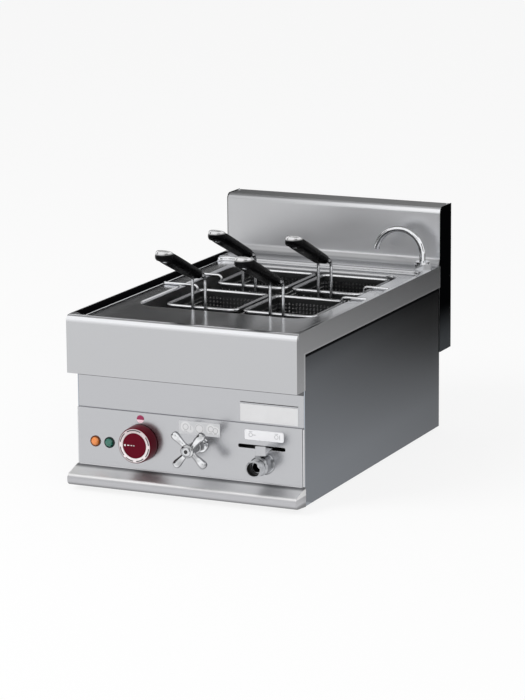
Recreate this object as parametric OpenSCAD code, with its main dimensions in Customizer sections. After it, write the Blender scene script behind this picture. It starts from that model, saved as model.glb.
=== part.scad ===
// Counter-top electric pasta cooker: a pressed steel worktop with a welded well,
// four lift-out baskets, a swivel filler spout, a cross-handle water tap,
// a thermostat knob and a drain valve worked by a lever in a slot.
// Lengths are in millimetres. Modules are written in the casing's own frame:
// y runs back from the apron's face and z runs up from the casing's underside.

/* [Casing] */
// Width over the worktop
body_w = 400; // [390:1:440]
// Depth from the apron's face to the back of the splashback
body_d = 650; // [640:1:720]
// Height of the worktop's rim above the casing's underside
body_h = 280; // [270:1:320]
// Thickness of the steel sheet
sheet_t = 1.5; // [1:0.1:2]
// Height of the rubber feet
foot_h = 5; // [3:0.5:12]
// Radius of a rubber foot
foot_r = 15; // [8:0.5:22]
// How much narrower a foot is at the bottom
foot_taper = 1; // [0:0.5:3]
// How far the feet's centres lie inside the side panels and the rear panel
foot_inset = 46; // [30:1:80]

/* [Worktop] */
// Height of the apron
apron_h = 94; // [80:1:110]
// Depth of the apron's box in front of the body
apron_d = 32; // [24:1:40]
// Radius of the apron's upper edge
apron_round = 10; // [5:0.5:14]
// Height of the side skirts
skirt_h = 37; // [25:1:60]
// Depth of the pressed recess below the rim
recess_depth = 8; // [6:0.5:10]
// Width of the flat rim outside the recess at the sides
rim_flat = 6; // [3:0.5:12]
// Width of the flat strip between the apron's rounding and the recess
front_flat = 2; // [1:0.5:10]
// Depth of the shelf between the recess and the splashback
rear_shelf = 49; // [45:1:70]
// Corner radius of the recess
recess_corner = 20; // [12:1:40]

/* [Splashback] */
// Depth of the splashback column
splash_d = 50; // [40:1:70]
// Height of the splashback above the rim
splash_rise = 100; // [80:1:150]
// How far the splashback reaches below the rim
splash_drop = 150; // [100:1:180]
// Radius of the splashback's upper front edge
splash_round = 10; // [4:0.5:15]
// Radius of the cove between shelf and splashback
cove_r = 15; // [8:0.5:17]
// How far the end plates stand above the splashback's top
end_plate_lip = 1; // [0.5:0.5:3]

/* [Well] */
// Distance from the well to the worktop's side edges
well_side = 48; // [44:1:52]
// Distance from the apron's face to the well
well_front = 150; // [146:1:156]
// Distance from the well to the splashback
well_rear = 64; // [62:1:70]
// Corner radius of the well
well_corner = 30; // [15:1:40]
// Height of the false bottom above the well's floor
grid_h = 38; // [30:1:60]
// Thickness of the false bottom
grid_t = 2; // [1:0.1:3]
// Gap between the false bottom and the well's walls
grid_gap = 4; // [2:0.5:8]
// Hole radius in the false bottom
grid_hole_r = 6; // [3:0.5:8]
// Hole spacing in the false bottom
grid_pitch = 26; // [20:1:40]

/* [Heating] */
// Radius of the heating element's tube
element_r = 4.25; // [3:0.25:6]
// Spacing of the two legs of one element loop
element_span = 40; // [24:1:50]
// Gap between the outer loops and the well's side walls
element_side_gap = 42; // [20:1:60]
// Height of the element's middle above the well's floor
element_lift = 16; // [10:1:20]
// Gap between the element's bends and the rear wall
element_rear_gap = 40; // [20:1:80]
// How far the element's cold ends reach in front of the flange
element_tail = 22; // [10:1:30]
// Height of the element's flange
flange_h = 28; // [20:1:36]
// Thickness of the element's flange
flange_t = 3; // [2:0.5:6]
// How far the flange reaches past the outer legs
flange_edge = 20; // [10:1:22]
// Radius of the thermostat's pocket
pocket_r = 6; // [4:0.5:8]
// Length of the thermostat's pocket inside the well
pocket_l = 100; // [50:1:200]
// Wall of the thermostat's pocket
pocket_wall = 1; // [0.5:0.1:2]
// How far the pocket reaches in front of the flange
pocket_tail = 6; // [3:0.5:10]

/* [Front panel] */
// How far the control panel stands proud of the strip above it
panel_step = 4; // [2:0.5:8]
// Height of the control panel's upper edge
panel_top = 125; // [121:1:135]
// Depth of the control panel's bent edges
panel_return = 16; // [8:1:24]
// Gap between the control panel and the side panels
panel_gap = 1; // [0.5:0.1:3]
// Height of the ledge at the control panel
ledge_h = 31; // [26:1:38]
// How far the ledge reaches in front of the apron's face
ledge_out = 8; // [2:1:16]
// Radius of the ledge's nose
ledge_nose_r = 10; // [6:0.5:12]
// Height of the nose above the casing's underside
ledge_lift = 3; // [1:0.5:6]

/* [Knob and lamps] */
// Distance of the knob's axis from the left side
knob_inset = 115; // [105:1:125]
// Height of the knob's axis
knob_z = 76; // [70:1:82]
// Radius of the knob's rear edge
knob_r = 30; // [24:0.5:33]
// Radius of the knob's front edge
knob_front_r = 28.5; // [22:0.5:31]
// Length of the knob
knob_l = 22; // [15:0.5:30]
// Radius of the knob's inner face, inside the dial ring
knob_face_r = 21; // [14:0.5:21]
// Thickness of the dial ring
dial_t = 1.5; // [0.8:0.1:3]
// Width of the knob's edge outside the dial ring
dial_edge = 1; // [0.5:0.1:2]
// Thickness of the knob in front of its shaft
knob_front_t = 6; // [3:0.5:8]
// Gap between the knob and the panel
knob_gap = 0.8; // [0.3:0.1:2]
// Radius of the thermostat's shaft
shaft_r = 3; // [2.5:0.1:4]
// Radius of the index spot above the knob
index_r = 6.5; // [4:0.5:7]
// Gap between the knob and the index spot
index_gap = 2; // [1:0.5:3]
// Distance of the first lamp from the left side
lamp_inset = 34; // [28:1:40]
// Spacing of the two lamps
lamp_spacing = 25; // [22:1:28]
// Height of the lamps
lamp_z = 71; // [62:1:80]
// Radius of a lamp's bezel
lamp_r = 9; // [6:0.5:11]
// Width and thickness of a lamp's bezel
bezel_w = 2; // [1:0.5:3]
// Height of a lamp's lens above its bezel
lens_h = 3; // [2:0.5:5]
// Length of a lamp's body behind the panel's face
lamp_body_l = 20; // [14:1:24]

/* [Water tap] */
// Place of the tap's axis across the front
tap_x = 21; // [10:1:30]
// Height of the tap's axis
tap_z = 84; // [80:1:86]
// How far the tap handle's front stands off the panel
tap_reach = 55; // [48:1:65]
// Distance from the tap's axis to the end of an arm
tap_arm = 37; // [28:1:40]
// Radius of an arm at its end
tap_arm_r = 6.25; // [4:0.25:7]
// Radius of an arm at the hub as a share of the radius at its end
tap_arm_root = 0.8; // [0.5:0.05:1]
// Chamfer on the end of an arm
tap_arm_edge = 2; // [1:0.25:3]
// Radius of the handle's hub
tap_hub_r = 9.5; // [8:0.5:12]
// Length of the hub in front of the arms' middle
tap_hub_front = 11; // [8:0.5:14]
// Length of the hub behind the arms' middle
tap_hub_rear = 10; // [7:0.5:12]
// Radius of the cap in the hub's middle
tap_cap_r = 6.5; // [5:0.5:7.5]
// Thickness of the cap in the hub's middle
tap_cap_t = 2; // [1:0.5:3]
// Gap between the hub and the bonnet
tap_gap = 2; // [1:0.5:4]
// How far the tap's collar stands out past the hub's radius
tap_collar = 4; // [2:0.5:6]
// How far the bonnet stays inside the hub's radius
bonnet_step = 1; // [0.5:0.5:3]
// Thickness of the collars on the panel
collar_t = 3; // [2:0.5:5]
// Turn of the cross from upright
tap_turn = 42; // [0:1:89]
// Radius of the tap's spindle
spindle_r = 4; // [3:0.1:5]
// How far the spindle reaches into the hub past the arms' middle
spindle_lap = 4; // [2:0.5:6]
// Radius of the tap's valve
tap_valve_r = 14; // [12:0.5:16]
// Length of the tap's valve behind the panel's face
tap_valve_l = 47; // [42:1:52]
// Distance of the valve's upward branch behind the panel's face
tap_branch = 30; // [26:1:34]
// Height of the branch above the valve
tap_branch_h = 6; // [4:0.5:10]
// Radius of the water pipes
pipe_r = 5; // [4:0.25:6]
// Wall of the sockets that take the pipes
pipe_socket = 3; // [2:0.5:4]
// Radius of the pipes' bends
pipe_bend = 14; // [12:1:20]
// Gap between the supply pipe and the well above it
pipe_clear = 7.5; // [5:0.5:12]
// Height of the pipe that crosses behind the panel
pipe_cross_z = 165; // [155:1:175]

/* [Filler spout] */
// Distance of the spout's axis from the worktop's side edge
spout_inset = 17; // [15:0.5:20]
// Distance of the spout's axis in front of the splashback
spout_setback = 40; // [34:1:44]
// Radius of the spout's bend, at the middle of the tube
spout_bend = 42; // [30:1:60]
// Angle that the spout's bend turns through
spout_sweep = 172; // [120:1:180]
// Height of the bend's centre above the rim
spout_rise = 25; // [22:1:80]
// Bore radius of the spout
spout_bore = 3.6; // [2.5:0.1:3.8]
// Width of the spout's nut over its corners
nut_w = 30; // [24:1:32]
// Height of the spout's nut
nut_h = 14; // [8:1:18]
// Height of the round collar on top of the nut
nut_collar_h = 4; // [2:0.5:6]
// Width of that collar as a share of the nut's width
nut_collar_share = 0.8; // [0.6:0.05:0.85]

/* [Drain] */
// Distance of the drain's axis from the right side
drain_inset = 69; // [66:1:76]
// Height of the drain's axis
drain_z = 64; // [58:1:68]
// How far the outlet stands off the panel
outlet_reach = 42; // [34:1:60]
// Radius of the outlet's threaded end
outlet_r = 13.2; // [12:0.1:14]
// Length of the outlet's threaded end
outlet_thread_l = 16; // [10:1:20]
// Width of the groove behind the thread
outlet_groove = 3; // [1:0.5:5]
// Depth of that groove
outlet_groove_depth = 1; // [0.5:0.1:1.2]
// How far the outlet's collar stands out past its body
outlet_collar = 2.5; // [1:0.5:4]
// Bore radius of the outlet
outlet_bore = 11; // [8:0.5:11]
// Radius of the outlet's body behind the thread
outlet_body_r = 15.5; // [14.5:0.5:17]
// Distance of the valve's stem behind the panel's face
stem_setback = 40; // [36:1:46]
// Radius of the valve's ball
ball_r = 13; // [12:0.5:14]
// Depth of the flat on the ball under the stem
ball_flat = 1.5; // [1:0.1:2]
// Wall of the valve round its ball
valve_wall = 5; // [4:0.5:7]
// Length of the valve in front of its ball
valve_nose = 9; // [7:0.5:11]
// Length of the valve behind its ball
valve_tail = 13; // [10:0.5:16]
// Length of the hexagon at each end of the valve
valve_hex_l = 6; // [4:0.5:8]
// How much smaller the valve's bore is than the outlet's
bore_step = 2.5; // [2:0.5:4]
// Radius of the valve's stem
stem_r = 4; // [3:0.1:5]
// Height of the lever above the drain's axis
lever_rise = 25; // [24:0.5:27]
// Width of the lever
lever_w = 17; // [12:0.5:20]
// Thickness of the lever
lever_t = 3; // [2:0.1:4]
// Gap between the lever and the valve's neck
lever_gap = 2; // [1:0.5:3]
// How far the lever's round end stands out past its width
lever_boss = 3; // [2:0.5:5]
// How far the stem stands above the lever
stem_proud = 4; // [2:0.5:6]
// Wall of the valve's neck round the stem
neck_wall = 5; // [3:0.5:6]
// How far the lever stands off the panel
lever_reach = 45; // [35:1:60]
// Height of the lever's turned-up end above the lever
lever_tab = 12; // [6:0.5:20]
// Angle of the lever from straight ahead at rest
lever_rest = 9; // [0:1:15]
// Reach of the lever's slot to the left of the drain's axis
slot_left = 45; // [40:1:46]
// Reach of the lever's slot to the right of the drain's axis
slot_right = 36; // [30:1:40]
// Height of the lever's slot
slot_h = 6; // [4.5:0.1:7]
// Distance of the well's drain hole behind the well's front wall
drain_setback = 36; // [30:1:50]
// Radius of the drain pipe
drain_pipe_r = 12.5; // [11.5:0.5:14]
// Radius of the drain pipe's bend
drain_bend = 18; // [16:1:20]
// Width of the welded collar round the drain pipe
weld_collar = 4; // [3:0.5:6]

/* [Baskets] */
// Gap between the well's side walls and the baskets, before they are shifted
basket_side_gap = 18; // [12:1:24]
// How far the baskets sit to the right of the well's middle
basket_shift = 9; // [0:1:10]
// Gap between the left and right baskets
basket_gap_x = 8; // [6:0.5:14]
// Gap between the front and rear baskets
basket_gap_y = 53; // [50:1:64]
// Gap between the well's front wall and the front baskets
basket_front_gap = 46; // [40:1:54]
// Gap between the well's rear wall and the rear baskets
basket_rear_gap = 7; // [6:1:18]
// How far the rims' wire lies below the recess floor
rim_drop = 8; // [4:1:20]
// Corner radius of the rim, at the middle of its wire
rim_corner = 12; // [8:1:25]
// Radius of the rim's wire
rim_r = 3; // [2:0.1:4]
// Radius of the wire of hooks and handles
wire_r = 2.5; // [2:0.1:3]
// Thickness of the basket's sheet
basket_t = 1; // [0.8:0.1:1.5]
// Gap between a hook's tip and the recess wall
hook_gap = 2; // [1:0.5:8]
// Distance of a hook from its basket's end
hook_offset = 20; // [18:1:30]
// Radius of the bends in the hooks
hook_bend = 6; // [4:0.5:8]
// Spacing of a handle's two legs
leg_span = 23; // [20:1:26]
// Height of a handle's legs above the rim, up to their bend
leg_rise = 45; // [30:1:60]
// How far the legs run down below the rim
leg_tail = 10; // [5:1:30]
// Depth of the weld between a leg and the rim
leg_weld = 1; // [0.6:0.1:1.5]
// Radius of the legs' bend
leg_bend = 12; // [8:1:20]
// Radius of the ferrules between the legs and the grip
ferrule_r = 4.2; // [3.5:0.1:6]
// Length of the ferrules
ferrule_l = 4; // [3:0.5:8]
// Angle of the grip above level
grip_angle = 24; // [10:1:40]
// Length of a grip
grip_l = 140; // [100:1:160]
// Width of a grip
grip_w = 31; // [29:0.5:36]
// Thickness of a grip
grip_t = 17; // [14:0.5:22]
// Radius of a grip's long edges
grip_edge = 6; // [2:0.5:6.5]
// How far the legs run into the grip
grip_socket = 30; // [10:1:60]

/* [Inner parts] */
// Width, depth and height of the thermostat
thermostat_size = [42, 38, 42];
// Width, depth and height of the safety thermostat
safety_size = [36, 30, 44];
// Width, depth and height of the contactor
contactor_size = [44, 56, 68];
// Width, depth and height of the terminal block
terminal_size = [60, 26, 28];
// Depth of the shaft's bearing in front of the thermostat's rear
bearing_end = 4; // [3:0.5:8]
// Distance of the component tray behind the apron's face
tray_y = 118; // [112:1:124]
// Height of the component tray
tray_h = 84; // [78:1:90]
// Depth of the component tray's foot
tray_foot = 20; // [12:1:24]
// Distance of the component tray's end from the casing's middle
tray_end = 40; // [36:1:50]
// Distance of the contactor from the left side panel
contactor_inset = 16; // [12:1:18]
// Height of the contactor above the casing's underside
contactor_z = 10; // [6:1:14]
// How far the safety thermostat lies to the left of the knob's axis
safety_shift = 30; // [28:1:34]
// Height of the safety thermostat above the casing's underside
safety_z = 16; // [10:1:20]
// Gap between the terminal block and the rear panel
terminal_gap = 70; // [50:1:90]
// Distance of the cable gland from the left side
gland_inset = 80; // [60:1:100]
// Height of the cable gland
gland_z = 48; // [40:1:80]
// Bore radius of the cable gland
gland_bore = 6; // [4:0.5:7]
// Wall of the cable gland's neck
gland_wall = 3; // [2:0.5:4]
// Wall of the cable gland's clamping nut
gland_nut_wall = 4.5; // [3:0.5:6]
// Length of the cable gland's clamping nut
gland_nut_l = 12; // [8:1:16]
// Wall of the cable gland's hexagon at its corners
gland_hex_wall = 6; // [5:0.5:8]
// Length of the cable gland's hexagon
gland_hex_l = 6; // [4:0.5:8]
// Length of the necks inside the rear panel
neck_l = 12; // [8:1:16]
// Radius of the water inlet's thread
inlet_r = 10.5; // [9:0.1:13]
// Length of the water inlet's thread
inlet_l = 16; // [10:1:20]
// Length of the water inlet's hexagon
inlet_hex_l = 6; // [4:0.5:10]
// How far the hexagon's corners stand out past the thread
inlet_collar = 5; // [3:0.5:8]
// Length of the pipe inside the water inlet's neck
inlet_lap = 8; // [4:1:12]

/* [Plates] */
// Width and height of the plain plate on the strip
name_plate_size = [99, 28];
// Width and height of the label above the tap
tap_label_size = [72, 22];
// Width and height of the label above the drain's slot
drain_label_size = [67, 16];
// Thickness of the plates and labels
plate_t = 0.8; // [0.4:0.1:1.5]
// Corner radius of the labels
label_corner = 3; // [1:0.5:6]
// How far the plain plate's middle lies to the right of the drain's axis
name_plate_shift = 7; // [0:1:10]
// Gap between the control panel's upper edge and the plain plate
name_plate_gap = 3; // [1:0.5:6]
// How far the tap's label lies to the left of the tap's axis
tap_label_shift = 2; // [0:0.5:6]
// Gap between the control panel's upper edge and the tap's label
tap_label_gap = 5; // [3:0.5:5]
// Gap between the lever's slot and the label above it
drain_label_gap = 8; // [4:0.5:10]

/* [Rear vents] */
// Width of a vent slot
vent_w = 60; // [40:1:70]
// Height of a vent slot
vent_h = 5; // [3:0.5:8]
// Spacing of the vent slots
vent_spacing = 12; // [9:0.5:16]
// Slots in each of the two columns
vent_rows = 4; // [2:1:4]
// Distance of the vent columns from the sides
vent_inset = 80; // [60:1:90]
// Height of the lowest vent slot
vent_z = 75; // [70:1:80]

/* [Fits] */
// Gap between pieces of different bodies that lie close together
rest_gap = 0.3; // [0.2:0.05:0.5]
// Radial running clearance of shafts
run_gap = 0.05; // [0.02:0.01:0.1]
// Gap round pieces that are welded or pushed through a hole
weld_gap = 0.05; // [0.02:0.01:0.1]

/* [Hidden] */
$fn = 48;
steel = "#b9bcc0";
dark_steel = "#6b6e73";
chrome = "#d9dde1";
black = "#1b1b1d";

panel_y = apron_d - panel_step;
top_d = body_d - splash_d;
front_y = -(body_d - (tap_reach - panel_y)) / 2;
side_x = body_w / 2 - sheet_t;
inner_x = side_x - sheet_t;
apron_z = body_h - apron_h;
skirt_z = body_h - skirt_h;
splash_z = body_h - splash_drop;

// The recess wall is two quarter bends of one radius, measured at the sheet's middle
press_r = recess_depth / 2;
floor_z = body_h - recess_depth;
recess_path = [
    body_w - 2 * (rim_flat + press_r),
    top_d - apron_round - front_flat - rear_shelf - 2 * press_r
];
recess_y = apron_round + front_flat + press_r + recess_path[1] / 2;
well_w = body_w - 2 * well_side;
well_l = top_d - well_front - well_rear;
well_path = [well_w + sheet_t, well_l + sheet_t];
well_path_corner = well_corner + sheet_t / 2;
well_y = well_front + well_l / 2;
well_top = floor_z - sheet_t / 2 - press_r;
well_z = tap_z + pipe_r + pipe_clear + sheet_t;
well_depth = floor_z - well_z;
grid_z = well_z + grid_h;

rim_z = floor_z - rim_drop;
basket_z = grid_z + rest_gap;
hook_z = floor_z + rest_gap + wire_r;
hook_reach = recess_path[0] / 2 - press_r - hook_gap;
basket_w = (well_w - basket_gap_x) / 2 - basket_side_gap;
basket_l = (well_l - basket_front_gap - basket_gap_y - basket_rear_gap) / 2;
basket_pitch_x = basket_w + basket_gap_x;
basket_pitch_y = basket_l + basket_gap_y;
rim_path = [basket_w - 2 * rim_r, basket_l - 2 * rim_r];
shell_w = basket_w - 4 * rim_r - 2 * weld_gap;
shell_l = basket_l - 4 * rim_r - 2 * weld_gap;
shell_corner = rim_corner - rim_r - weld_gap;
leg_y = -rim_path[1] / 2 - rim_r - wire_r + leg_weld;
grip_turn = 90 - grip_angle;
ferrule_lap = 1;
seam_lap = 1;

spout_x = body_w / 2 - spout_inset;
spout_y = top_d - spout_setback;
stem_y = panel_y + stem_setback;
lever_z = drain_z + lever_rise;
drain_hole_y = well_front + drain_setback;
drain_x = body_w / 2 - drain_inset;
valve_r = ball_r + valve_wall;
valve_front = stem_y - ball_r - valve_nose;
valve_rear = stem_y + ball_r + valve_tail;
valve_bore = outlet_bore - bore_step;
neck_top = lever_z - lever_t / 2 - lever_gap;
ball_top = ball_r - ball_flat;
tap_front = panel_y - tap_reach;
tap_arm_y = tap_front + tap_cap_t + tap_hub_front;
tap_valve_rear = panel_y + tap_valve_l;
tap_branch_y = panel_y + tap_branch;
inlet_neck_r = pipe_r + pipe_socket;
inlet_joint = top_d - sheet_t - neck_l;
knob_x = knob_inset - body_w / 2;
knob_rear = panel_y - knob_gap;
knob_front = knob_rear - knob_l;
lamp_x = [lamp_inset - body_w / 2, lamp_inset + lamp_spacing - body_w / 2];
gland_x = gland_inset - body_w / 2;
element_spacing = well_w / 2 - element_side_gap - element_span / 2;
pocket_x = -element_spacing / 2;
element_z = well_z + element_lift;
element_bend_y = well_front + well_l - element_rear_gap - element_span / 2;
element_loops = [-1, 0, 1];
flange_w = 2 * element_spacing + element_span + 2 * flange_edge;
nose_y = ledge_nose_r - ledge_out;
nose_z = ledge_nose_r + ledge_lift;

// Shared shapes

// Moves from the casing's frame to the part's frame
module placed() {
    translate([0, front_y, foot_h]) children();
}

// Extrudes an outline drawn in y and z across the width w
module across(w) {
    translate([-w / 2, 0, 0]) rotate([90, 0, 90]) linear_extrude(w) children();
}

// Cylinder along y from y0 to y1
module rod_y(r, y0, y1) {
    translate([0, y1, 0]) rotate([90, 0, 0]) cylinder(r = r, h = y1 - y0);
}

// Hexagonal bar along y from y0 to y1
module hex_y(r, y0, y1) {
    translate([0, y1, 0]) rotate([90, 0, 0]) cylinder(r = r, h = y1 - y0, $fn = 6);
}

// Rectangle with rounded corners, centred
module rounded_rect(w, l, r) {
    square([w - 2 * r, l], center = true);
    square([w, l - 2 * r], center = true);
    for (x = [-1, 1], y = [-1, 1])
        translate([x * (w / 2 - r), y * (l / 2 - r)]) circle(r);
}

// Sweeps an outline round a rounded rectangle; the outline's x points outward
module ring_sweep(w, l, r) {
    for (side = [0:3]) {
        reach = side % 2 == 0 ? w / 2 : l / 2;
        run = side % 2 == 0 ? l / 2 - r : w / 2 - r;
        rotate(side * 90) {
            translate([reach, run, 0]) rotate([90, 0, 0]) linear_extrude(2 * run) children();
            translate([reach - r, run, 0]) rotate_extrude(angle = 90) translate([r, 0]) children();
        }
    }
}

// Quarter of a ring of sheet, in the quadrant given by the signs sx and sy
module quarter_ring(r, t, sx, sy) {
    intersection() {
        difference() {
            circle(r + t / 2);
            circle(r - t / 2);
        }
        low_x = sx > 0 ? 0 : -(r + t);
        low_y = sy > 0 ? 0 : -(r + t);
        translate([low_x, low_y]) square(r + t);
    }
    // Flat lap past the bend's end, so that it joins the sheet it runs into
    translate([sx > 0 ? -seam_lap : 0, sy * r - t / 2]) square([seam_lap, t]);
}

// Bent wire or pipe: a bend of radius r through an angle, starting along +x and turning to +y
module bend(r, wire, angle) {
    rotate_extrude(angle = angle) translate([r, 0]) circle(wire);
}

// Casing

// Side outline of the worktop, drawn in by the sheet's thickness for its hollow
module worktop_outline(inset) {
    open = inset > 0 ? 1 : 0;
    front = inset;
    top = body_h - inset;
    translate([apron_round, body_h - apron_round]) circle(apron_round - inset);
    translate([front, apron_z + inset]) square([apron_d - front + open, apron_h - apron_round - inset]);
    translate([apron_round, apron_z + inset]) square([apron_d - apron_round + open, top - apron_z - inset]);
    translate([apron_round, skirt_z - open]) square([top_d - apron_round + open, top - skirt_z + open]);
}

module worktop() {
    color(steel) placed() {
        // Top sheet with apron and skirts
        difference() {
            across(body_w) worktop_outline(0);
            across(body_w - 2 * sheet_t) worktop_outline(sheet_t);
            translate([0, recess_y, body_h - 2 * sheet_t]) linear_extrude(3 * sheet_t)
                rounded_rect(recess_path[0] + 2 * press_r, recess_path[1] + 2 * press_r,
                    recess_corner + press_r);
            translate([spout_x, spout_y, body_h - 2 * sheet_t])
                cylinder(r = pipe_r + weld_gap, h = 3 * sheet_t);
        }
        // Pressed wall of the recess
        translate([0, recess_y, 0]) ring_sweep(recess_path[0], recess_path[1], recess_corner) {
            translate([press_r, body_h - sheet_t / 2 - press_r]) quarter_ring(press_r, sheet_t, -1, 1);
            translate([-press_r, floor_z - sheet_t / 2 + press_r]) quarter_ring(press_r, sheet_t, 1, -1);
        }
        // Recess floor with the well's opening
        translate([0, 0, floor_z - sheet_t]) linear_extrude(sheet_t) difference() {
            translate([0, recess_y]) rounded_rect(recess_path[0] - 2 * press_r,
                recess_path[1] - 2 * press_r, recess_corner - press_r);
            translate([0, well_y]) rounded_rect(well_path[0] + 2 * press_r,
                well_path[1] + 2 * press_r, well_path_corner + press_r);
        }
        // Rounded lip down into the well
        translate([0, well_y, well_top]) ring_sweep(well_path[0], well_path[1], well_path_corner)
            translate([press_r, 0]) quarter_ring(press_r, sheet_t, -1, 1);
    }
}

module tank() {
    color(steel) placed() difference() {
        translate([0, well_y, well_z - sheet_t]) linear_extrude(well_top - well_z + sheet_t)
            rounded_rect(well_w + 2 * sheet_t, well_l + 2 * sheet_t, well_corner + sheet_t);
        translate([0, well_y, well_z]) linear_extrude(well_depth)
            rounded_rect(well_w, well_l, well_corner);
        translate([drain_x, drain_hole_y, well_z - 2 * sheet_t])
            cylinder(r = drain_pipe_r - sheet_t, h = 3 * sheet_t);
        element_legs(element_r + weld_gap);
        translate([pocket_x, 0, element_z])
            rod_y(pocket_r + weld_gap, well_front - 2 * sheet_t, well_front + sheet_t);
    }
}

module side_panel(side) {
    color(dark_steel) placed() translate([side > 0 ? inner_x : -side_x, apron_d, 0])
        cube([sheet_t, top_d - apron_d, body_h - sheet_t]);
}

module front_strip() {
    color(steel) placed() translate([-inner_x, apron_d, panel_top])
        cube([2 * inner_x, sheet_t, apron_z - panel_top]);
}

module control_panel() {
    half = inner_x - panel_gap;
    color(steel) placed() difference() {
        translate([-half, panel_y, ledge_h]) cube([2 * half, panel_return, panel_top - ledge_h]);
        translate([-half + sheet_t, panel_y + sheet_t, ledge_h - 1])
            cube([2 * (half - sheet_t), panel_return, panel_top - ledge_h - sheet_t + 1]);
        through_panel(knob_x, knob_z, shaft_r + rest_gap);
        through_panel(tap_x, tap_z, tap_hub_r + weld_gap);
        through_panel(drain_x, drain_z, outlet_body_r + weld_gap);
        for (x = lamp_x) through_panel(x, lamp_z, lamp_r - bezel_w + weld_gap);
        slot_middle = drain_x + (slot_right - slot_left) / 2;
        translate([slot_middle, panel_y + 2 * sheet_t, lever_z]) rotate([90, 0, 0])
            linear_extrude(3 * sheet_t)
                rounded_rect(slot_left + slot_right, slot_h, slot_h / 2 - rest_gap);
    }
}

module through_panel(x, z, r) {
    translate([x, 0, z]) rod_y(r, panel_y - sheet_t, panel_y + 2 * sheet_t);
}

// Outline of the ledge: a slope from the panel down to a round nose
module ledge_outline(inset) {
    rise = ledge_h - nose_z;
    run = panel_y - nose_y;
    tangent = atan2(rise, run) + acos(ledge_nose_r / norm([rise, run]));
    r = ledge_nose_r - inset;
    translate([nose_y, nose_z]) circle(r);
    polygon([
        [apron_d - inset, inset], [apron_d - inset, ledge_h - inset], [panel_y, ledge_h - inset],
        [nose_y + r * cos(tangent), nose_z + r * sin(tangent)],
        [nose_y, nose_z], [nose_y, nose_z - r]
    ]);
}

module base_ledge() {
    color(steel) placed() difference() {
        across(body_w) ledge_outline(0);
        across(body_w - 2 * sheet_t) ledge_outline(sheet_t);
    }
}

module base_plate() {
    color(dark_steel) placed() translate([-inner_x, apron_d, 0])
        cube([2 * inner_x, top_d - apron_d - sheet_t, sheet_t]);
}

module rear_panel() {
    color(dark_steel) placed() difference() {
        translate([-inner_x, top_d - sheet_t, 0]) cube([2 * inner_x, sheet_t, body_h - sheet_t]);
        through_rear(gland_x, gland_z, gland_bore + gland_wall + weld_gap);
        through_rear(tap_x, tap_z, inlet_neck_r + weld_gap);
        for (side = [-1, 1], row = [0:vent_rows - 1])
            translate([side * (body_w / 2 - vent_inset), top_d + sheet_t, vent_z + row * vent_spacing])
                rotate([90, 0, 0]) linear_extrude(3 * sheet_t)
                    rounded_rect(vent_w, vent_h, vent_h / 2 - rest_gap);
    }
}

module through_rear(x, z, r) {
    translate([x, 0, z]) rod_y(r, top_d - 2 * sheet_t, top_d + sheet_t);
}

// Side outline of the splashback's closed column
module splash_outline(inset) {
    round_z = body_h + splash_rise - splash_round;
    low = splash_z + inset;
    translate([top_d + splash_round, round_z]) circle(splash_round - inset);
    translate([top_d + inset, low]) square([splash_d - 2 * inset, round_z - low]);
    translate([top_d + splash_round, low])
        square([splash_d - splash_round - inset, round_z + splash_round - inset - low]);
}

module splashback() {
    color(steel) placed() {
        difference() {
            across(2 * side_x) splash_outline(0);
            across(2 * side_x + 1) splash_outline(sheet_t);
        }
        // Cove on the shelf, lapping into the column's front sheet
        across(2 * side_x) translate([top_d - cove_r, body_h]) difference() {
            square([cove_r + sheet_t / 2, cove_r]);
            translate([0, cove_r]) circle(cove_r);
        }
    }
}

module splashback_ends() {
    color(black) placed() for (side = [-1, 1])
        translate([side * (side_x + sheet_t / 2), 0, 0]) across(sheet_t) {
            translate([0, end_plate_lip]) splash_outline(0);
            translate([top_d, splash_z]) square([splash_d, splash_drop]);
        }
}

module feet() {
    color(black) placed()
        for (x = [-1, 1], y = [apron_d + foot_inset, top_d - foot_inset])
            translate([x * (inner_x - foot_inset), y, -foot_h])
                cylinder(r1 = foot_r - foot_taper, r2 = foot_r, h = foot_h);
}

// Heating and the well's fittings

// The element's straight legs, drawn as rods of radius r
module element_legs(r) {
    for (loop = element_loops, leg = [-1, 1])
        translate([loop * element_spacing + leg * element_span / 2, 0, element_z])
            rod_y(r, well_front - sheet_t - flange_t - element_tail, element_bend_y);
}

module heating_element() {
    color(dark_steel) placed() {
        element_legs(element_r);
        for (loop = element_loops)
            translate([loop * element_spacing, element_bend_y, element_z])
                bend(element_span / 2, element_r, 180);
    }
}

module element_flange() {
    color(steel) placed() difference() {
        translate([-flange_w / 2, well_front - sheet_t - flange_t, element_z - flange_h / 2])
            cube([flange_w, flange_t, flange_h]);
        element_legs(element_r + weld_gap);
        translate([pocket_x, 0, element_z])
            rod_y(pocket_r + weld_gap, well_front - flange_t - 2 * sheet_t, well_front);
    }
}

module thermostat_pocket() {
    mouth = well_front - sheet_t - flange_t - pocket_tail;
    color(steel) placed() translate([pocket_x, 0, element_z]) difference() {
        union() {
            rod_y(pocket_r, mouth, well_front + pocket_l);
            translate([0, well_front + pocket_l, 0]) sphere(pocket_r);
        }
        rod_y(pocket_r - pocket_wall, mouth - 1, well_front + pocket_l - pocket_wall);
    }
}

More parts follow.
